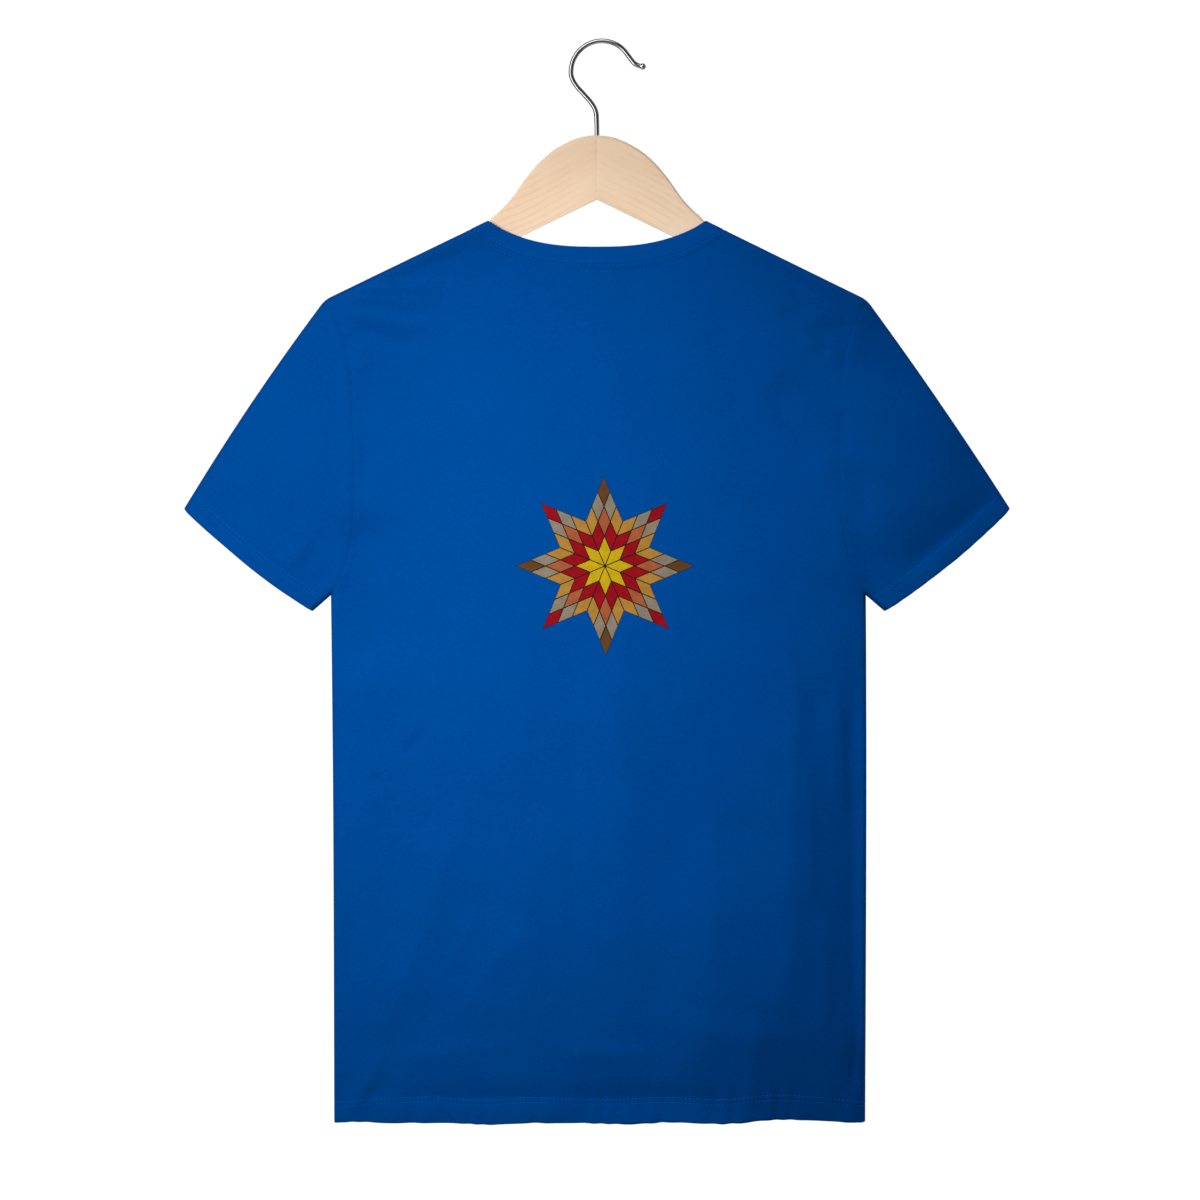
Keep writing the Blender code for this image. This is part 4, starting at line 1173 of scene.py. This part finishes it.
def section_ring(top, bottom, half_thickness, bevelled):
    """A rounded rectangle from a bottom place to a top place, as points around it."""
    height = norm(top - bottom)
    steps = np.radians(np.linspace(0.0, 90.0, 6))
    ring = []
    for low, turn in ((True, 180), (False, 270), (False, 0), (True, 90)):
        bevel = bevelled and not low
        radius = WOOD_UNDER_ROUNDING if low else (WOOD_TOP_BEVEL if bevel else WOOD_TOP_ROUNDING)
        radius = min(radius, height * MOST_ROUNDING)
        angles = steps + radians(turn)
        up = (radius if low else height - radius) + radius * np.cos(angles)
        out = (half_thickness - radius) * (-1 if turn >= 180 else 1) + radius * np.sin(angles)
        if bevel:
            up, out = (np.linspace(values[0], values[-1], len(values)) for values in (up, out))
        if low:
            up = up + WOOD_CANT * (out + half_thickness)
        # one more point on the broad face that the corner ends on, or starts from
        end, at = (-1, len(up)) if turn in (180, 0) else (0, 0)
        inward = EDGE_SUPPORT * height * (1 if low else -1)
        ring.extend(zip(np.insert(up, at, up[end] + inward), np.insert(out, at, out[end])))
    upwards = (top - bottom) / height
    return [(*(bottom + upwards * up), out) for up, out in ring]


def add_wood(name, hand, material):
    """One half of the hanger, less the hole for the hook's shank."""
    rings = []
    for top, bottom in zip(*wood_sections()):
        slimmer = 0.0 if rings else WOOD_JOINT_CHAMFER
        rings.append(section_ring(top, bottom, WOOD_THICKNESS / 2 - slimmer, hand == RIGHT))
    points = np.array(rings)[..., [0, 2, 1]]
    points[0, :, 0] = WOOD_JOINT_GAP / 2
    points[..., 0] *= hand
    wood = add_mesh(name, points.reshape(-1, 3), tube_faces(*points.shape[:2]), material,
                    WOOD_SHARP)
    top_z, bottom_z = WOOD_CREST[0][1] + DRILL_OVER, SHANK_END_Z - SHANK_FIT
    bpy.ops.mesh.primitive_cylinder_add(vertices=32, radius=WIRE_RADIUS + SHANK_FIT,
                                        depth=top_z - bottom_z,
                                        location=(0.0, 0.0, (top_z + bottom_z) / 2))
    drill = bpy.context.object
    cut = wood.modifiers.new("shank hole", "BOOLEAN")
    cut.operation = "DIFFERENCE"
    cut.solver = "EXACT"
    cut.object = drill
    graph = bpy.context.evaluated_depsgraph_get()
    mesh = bpy.data.meshes.new_from_object(wood.evaluated_get(graph))
    wood.modifiers.clear()
    wood.data = mesh
    mesh.set_sharp_from_angle(angle=radians(WOOD_SHARP))
    bpy.data.objects.remove(drill)
    return wood


def add_hook(name, material):
    angles = np.radians(np.linspace(HOOK_FROM, HOOK_TO, 9))
    arc = HOOK_CENTRE + HOOK_RADIUS * stacked(np.cos(angles), np.sin(angles))
    route = curve_through([(0.0, SHANK_END_Z), *SHANK_BEND, *arc, *HOOK_FLARE], 8)
    heading = unit(route[-1] - route[-2])
    neck = sqrt(BALL_RADIUS ** 2 - WIRE_RADIUS ** 2)
    wire = route[norm(route - route[-1], axis=1) > neck * BALL_ROOM]
    turns = np.linspace(-asin(neck / BALL_RADIUS), radians(BALL_TOP), 14)
    line = np.vstack([wire, route[-1] + np.outer(np.sin(turns), heading) * BALL_RADIUS])
    radius = np.concatenate([np.full(len(wire), WIRE_RADIUS), np.cos(turns) * BALL_RADIUS])
    ahead = unit(np.gradient(line, axis=0))
    ahead[len(wire):] = heading
    turns = np.linspace(0.0, tau, WIRE_SIDES, endpoint=False)
    level = 0.0 * radius
    centre = stacked(line[:, 0], level, line[:, 1])[:, None]
    sideways = stacked(ahead[:, 1], level, -ahead[:, 0])[:, None]
    ring = sideways * np.cos(turns)[:, None] + np.outer(np.sin(turns), (0.0, 1.0, 0.0))
    points = centre + ring * radius[:, None, None]
    return add_mesh(name, points.reshape(-1, 3), tube_faces(len(line), WIRE_SIDES), material)


# ---- materials

class Graph:
    """The nodes of a material or the world, with short ways to add and join them."""

    def __init__(self, owner, shader, **settings):
        owner.use_nodes = True
        self.owner = owner
        self.nodes = owner.node_tree.nodes
        self.links = owner.node_tree.links
        self.sockets = self.nodes[shader].inputs
        for socket, value in settings.items():
            self.sockets[socket.replace("_", " ")].default_value = value

    def add(self, kind, inputs=(), output=0, **settings):
        """An output of a new node of a kind, with what goes into it."""
        node = self.nodes.new(kind)
        for key, value in settings.items():
            setattr(node, key, value)
        for key, value in dict(inputs).items():
            if isinstance(value, bpy.types.NodeSocket):
                self.links.new(value, node.inputs[key])
            else:
                node.inputs[key].default_value = value
        return node.outputs[output]

    def join(self, socket, value):
        self.links.new(value, self.sockets[socket])

    def math(self, operation, *values):
        return self.add("ShaderNodeMath", enumerate(values), operation=operation)

    def plus(self, first, *others):
        for other in others:
            first = self.math("ADD", first, other)
        return first

    def times(self, first, *others):
        for other in others:
            first = self.math("MULTIPLY", first, other)
        return first

    def remap(self, value, low, high, to_low=0.0, to_high=1.0):
        """A value from low..high mapped to to_low..to_high, and clamped."""
        values = (value, low, high, to_low, to_high)
        return self.add("ShaderNodeMapRange", enumerate(values))

    def spread(self, value, low, high):
        """A value between 0 and 1 mapped to low..high."""
        return self.remap(value, 0.0, 1.0, low, high)

    def band(self, value, low, high):
        """1 while a value is between two limits, and 0 outside."""
        above = self.math("GREATER_THAN", value, low)
        return self.times(above, self.math("LESS_THAN", value, high))

    def coordinates(self, scale=(1, 1, 1), tilt=0.0):
        """Object coordinates turned about Y by a tilt, then scaled."""
        vector = self.add("ShaderNodeTexCoord", output="Object")
        vector = self.add("ShaderNodeMapping", {"Vector": vector, "Rotation": (0, tilt, 0)})
        return self.add("ShaderNodeMapping", {"Vector": vector, "Scale": scale})

    def axis(self, name, tilt):
        return self.add("ShaderNodeSeparateXYZ", {0: self.coordinates(tilt=tilt)}, name)

    def noise(self, scale, tilt=0.0, detail=2.0, roughness=0.5):
        """Noise that is finer along an axis with a larger scale."""
        scale = scale if isinstance(scale, tuple) else (scale,) * 3
        inputs = {"Vector": self.coordinates(scale, tilt), "Scale": 1.0, "Detail": detail,
                  "Roughness": roughness}
        return self.add("ShaderNodeTexNoise", inputs, "Fac")

    def bump(self, height, depth, strength):
        inputs = {"Height": height, "Distance": depth, "Strength": strength}
        self.join("Normal", self.add("ShaderNodeBump", inputs))


def mottled(name, colour, layers, tilt=0.0, bump=None, **settings):
    """A material whose colour is varied by layers of noise, and the noises.

    A layer is its scale, detail and roughness, and the least and most it multiplies by.  The
    first also makes the bump, of a depth and a strength.
    """
    graph = Graph(bpy.data.materials.new(name), "Principled BSDF", **settings)
    noises = [graph.noise(scale, tilt, *kind) for scale, *kind, _, _ in layers]
    factor = graph.times(*(graph.spread(noise, *layer[-2:])
                           for noise, layer in zip(noises, layers)))
    grey = graph.add("ShaderNodeCombineColor", {0: factor, 1: factor, 2: factor})
    graph.join("Base Color", graph.add("ShaderNodeMix", {0: 1.0, 6: (*colour, 1.0), 7: grey}, 2,
                                       data_type="RGBA", blend_type="MULTIPLY"))
    if bump:
        graph.bump(noises[0], *bump)
    return graph, noises


COTTON = {"Roughness": 0.92, "Specular_IOR_Level": 0.02, "Sheen_Weight": 0.05,
          "Sheen_Roughness": 0.6, "Sheen_Tint": (0.0, 0.22, 1.0, 1.0)}


def jersey_material(name, tilt=0.0):
    """Matt jersey: wales of small loops along local Z, slubs and faint mottling."""
    graph, noises = mottled(name, JERSEY_BLUE, [((140, 140, 1000), 3.0, 0.6, 0.90, 1.10),
                                                (620, 2.0, 0.7, 0.80, 1.20),
                                                (14, 2.0, 0.5, 0.96, 1.04)], tilt, **COTTON)
    across = graph.math("SINE", graph.times(graph.axis("X", tilt), tau / WALE))
    across = graph.math("ABSOLUTE", across)
    along = graph.times(graph.axis("Z", tilt), tau / COURSE)
    loops = graph.math("SINE", graph.plus(along, graph.times(across, 0.9, pi)))
    knit = graph.plus(across, graph.times(loops, 0.5))
    graph.bump(graph.plus(graph.times(knit, 0.35), noises[0]), 0.00014, 0.55)
    return graph.owner


def rib_material():
    layers = [(900, 2.0, 0.5, 0.92, 1.08), (20, 2.0, 0.5, 0.96, 1.04)]
    return mottled("rib", RIB_BLUE, layers, bump=(0.00012, 0.6), **COTTON)[0].owner


def thread_material():
    return mottled("thread", THREAD_BLUE, [(2600, 1.0, 0.5, 0.85, 1.15)], bump=(0.00008, 0.7),
                   Roughness=0.62, Specular_IOR_Level=0.25)[0].owner


def ink_material(ink):
    """Screen print: flat colour, a little uneven, with the knit showing through."""
    layers = [((80, 80, 1100), 2.0, 0.5, 0.90, 1.10), (120, 4.0, 0.65, 0.62, 1.38)]
    return mottled("ink " + ink.replace("_", " "), INKS[ink], layers, bump=(0.00012, 0.5),
                   Roughness=0.72, Specular_IOR_Level=0.22)[0].owner


def wood_material(name, hand):
    """Clear lacquered beech whose grain slants down towards the hanger's end."""
    graph = Graph(bpy.data.materials.new(name), "Principled BSDF", Roughness=0.42,
                  Specular_IOR_Level=0.35)
    tilt = radians(-27.0) * hand
    warp = graph.times(graph.noise((7, 16, 20), tilt, 1.0), 0.024)
    waver = graph.times(graph.noise((45, 70, 140), tilt), 0.0022)
    across = graph.plus(graph.axis("Z", tilt), warp, waver)
    rings = graph.math("SINE", graph.times(across, tau / 0.0056))
    late = graph.spread(graph.remap(rings, 0.35, 1.0), 0.0, 0.22)
    early = graph.spread(graph.remap(rings, -1.0, 1.0), 0.0, 0.08)
    shown = graph.remap(graph.noise((14, 60, 60), tilt + 1.0, 1.0), 0.40, 0.62, 0.15, 1.0)
    fibre = graph.noise((55, 1300, 1300), tilt, 3.0, 0.6)
    fleck = graph.remap(graph.noise((260, 1500, 1500), tilt, 1.0), 0.60, 0.80)
    cloud = graph.noise((10, 40, 40), tilt)
    dark = graph.plus(graph.times(graph.plus(late, early), shown),
                      graph.spread(cloud, -0.30, 0.74), graph.spread(fibre, -0.26, 0.26),
                      graph.times(fleck, 0.16))
    colours = {0: dark, 6: (*WOOD_LIGHT, 1.0), 7: (*WOOD_DARK, 1.0)}
    graph.join("Base Color", graph.add("ShaderNodeMix", colours, 2, data_type="RGBA",
                                       clamp_factor=True))
    graph.join("Roughness", graph.spread(cloud, 0.36, 0.50))
    graph.bump(fibre, 0.00006, 0.35)
    return graph.owner


def steel_material():
    graph, noises = mottled("polished steel", STEEL, [(60, 3.0, 0.5, 0.95, 1.05)],
                            Roughness=0.04, Metallic=1.0)
    graph.join("Roughness", graph.spread(noises[0], 0.02, 0.05))
    return graph.owner


def floor_material():
    return mottled("floor", FLOOR_GREY, [(3, 2.0, 0.5, 0.99, 1.01)], Roughness=0.9,
                   Specular_IOR_Level=0.1)[0].owner


# ---- studio

VIEW_CENTRE = (0.0024, -0.4450)  # what the middle of the picture shows
VIEW_WIDTH = 0.9600  # what its width spans, at the shirt
CAMERA_DISTANCE = 3.4
SENSOR = 36.0  # millimetres
FLOOR_Z = -1.75
FLOOR_RADIUS = 2.3

# Both lamps in front are soft-edged spots, whose light fades towards the lower right
Spot = namedtuple("Spot", "name place target half_angle size power")
SPOTS = (
    Spot("key", (-0.60, -1.75, -0.14), (-0.267, 0.0, -0.416), 20.6, 0.22, 136.0),
    Spot("top", (-0.45, -1.25, 1.15), (0.380, 0.0, -0.985), 21.4, 0.22, 134.0),
)
BACK_PLACE, BACK_TARGET = (-0.60, 1.90, 0.10), (0.0, 0.0, -0.45)
BACK_SIZE = 1.20
BACK_POWER = 27.0
# Diffuse light of the surround and of the backdrop, each from the left and from the right
SURROUND = (0.05, 0.01)
BACKDROP = (1.60, 3.00)
# What polished metal reflects: a dark room with a grey front wall, a bright strip to the
# upper left and a dimmer, narrower one to the lower right
ROOM_DARK, ROOM_GREY, ROOM_STRIP, ROOM_FILL = 0.012, 0.16, 2.6, 0.5
STRIP_HEADING = (-0.90, 0.0, 0.43)
BACKGROUND_SHOWN = 1.05  # the background's own white in the picture


def add_camera():
    data = bpy.data.cameras.new("camera")
    data.sensor_width = SENSOR
    data.lens = SENSOR * CAMERA_DISTANCE / VIEW_WIDTH
    camera = add_object(data)
    camera.location = (VIEW_CENTRE[0], -CAMERA_DISTANCE, VIEW_CENTRE[1])
    camera.rotation_euler = (pi / 2, 0.0, 0.0)
    bpy.context.scene.camera = camera


def add_lamp(data, place, target, power):
    data.energy = power
    light = add_object(data)
    light.location = place
    towards = Vector(target) - Vector(place)
    light.rotation_euler = towards.to_track_quat("-Z", "Y").to_euler()
    light.visible_camera = False
    light.visible_glossy = False


def add_lamps():
    for spot in SPOTS:
        lamp = bpy.data.lights.new(spot.name, "SPOT")
        lamp.spot_size = 2 * radians(spot.half_angle)
        lamp.spot_blend = 1.0
        lamp.shadow_soft_size = spot.size
        add_lamp(lamp, spot.place, spot.target, spot.power)
    behind = bpy.data.lights.new("behind", "AREA")
    behind.shape = "DISK"
    behind.size = BACK_SIZE
    add_lamp(behind, BACK_PLACE, BACK_TARGET, BACK_POWER)


def set_world():
    """A white backdrop behind the shirt, a surround dimmer on the right, and reflections."""
    graph = Graph(bpy.data.worlds.new("studio"), "Background", Color=(1.0, 1.0, 1.0, 1.0))
    bpy.context.scene.world = graph.owner
    heading = graph.add("ShaderNodeTexCoord", output="Generated")
    x, y, z = (graph.add("ShaderNodeSeparateXYZ", {0: heading}, axis) for axis in "XYZ")
    behind = graph.times(graph.remap(y, 0.0, 0.3), graph.band(z, -0.60, 0.30))
    around, backdrop = (graph.remap(x, -1.0, 1.0, *level) for level in (SURROUND, BACKDROP))
    surround = graph.add("ShaderNodeMix", {0: behind, 2: around, 3: backdrop})
    strip_side = graph.add("ShaderNodeVectorMath", {0: heading, 1: STRIP_HEADING}, "Value",
                           operation="DOT_PRODUCT")
    strip = graph.times(graph.remap(strip_side, 0.0, 0.3, 0.0, ROOM_STRIP),
                        graph.band(y, -0.80, -0.50))
    fill = graph.times(graph.remap(strip_side, 0.0, -0.3, 0.0, ROOM_FILL),
                       graph.band(y, -0.10, 0.30))
    grey = graph.remap(y, -1.0, -0.86, ROOM_GREY, ROOM_DARK)
    room = graph.plus(strip, fill, grey)
    glossy, seen = (graph.add("ShaderNodeLightPath", output="Is %s Ray" % kind)
                    for kind in ("Glossy", "Camera"))
    lit = graph.add("ShaderNodeMix", {0: glossy, 2: surround, 3: room})
    graph.join("Strength", graph.add("ShaderNodeMix", {0: seen, 2: lit, 3: BACKGROUND_SHOWN}))


def add_floor():
    bpy.ops.mesh.primitive_circle_add(vertices=96, radius=FLOOR_RADIUS, fill_type="NGON",
                                      location=(0.0, 0.0, FLOOR_Z))
    floor = bpy.context.object
    floor.name = "floor"
    floor.data.materials.append(floor_material())


# ---- the whole

def place(piece, slot, *nodes):
    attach(piece, "root")
    if nodes:
        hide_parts(*nodes)
    return piece


def dress_cloth():
    thread = thread_material()
    stitches = {
        BACK: add_stitches("hem_stitches_back", hem_stitch_rows(BACK), thread, seed=11),
        FRONT: add_stitches("hem_stitches_front", hem_stitch_rows(FRONT), thread, seed=12),
        "neck": add_stitches("neck_stitches", neck_stitch_rows(), thread, seed=13),
    }
    print_pieces = add_print()
    for piece in print_pieces:
        place(piece, "print_ink")
    for piece in stitches.values():
        place(piece, "thread")
    for name, node, side in (("back_jersey", "back", BACK), ("front_jersey", "front", FRONT)):
        panel, area = add_panel(name, side, jersey_material(node + " jersey"))
        place(panel, "jersey", node)
    sleeve_length = travelled(sleeve_top_path())[-1]
    grain = atan2(CUFF_OUTWARD[0], -CUFF_OUTWARD[1])
    for hand, side in ((LEFT, "left"), (RIGHT, "right")):
        material = jersey_material(side + " sleeve jersey", tilt=grain * hand)
        sleeve, area = add_sleeve("sleeve_%s_jersey" % side, hand, material)
        place(sleeve, "jersey", "sleeve_" + side)
        rows = add_stitches("cuff_stitches_" + side, cuff_stitch_rows(hand), thread, seed=14 + hand)
        place(rows, "thread")
    band, whole, width = add_neckband("neckband_rib", rib_material())
    place(band, "rib", "neckband")


def dress_hanger():
    for side, hand in (("left", LEFT), ("right", RIGHT)):
        half = add_wood("hanger_%s_wood" % side, hand, wood_material(side + " wood", hand))
        place(half, "wood", "hanger_" + side)
    place(add_hook("hook_steel", steel_material()), "steel", "hook")


def main():
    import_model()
    bpy.context.scene.view_settings.view_transform = "Standard"
    add_camera()
    set_world()
    add_lamps()
    add_floor()
    dress_hanger()
    dress_cloth()


main()
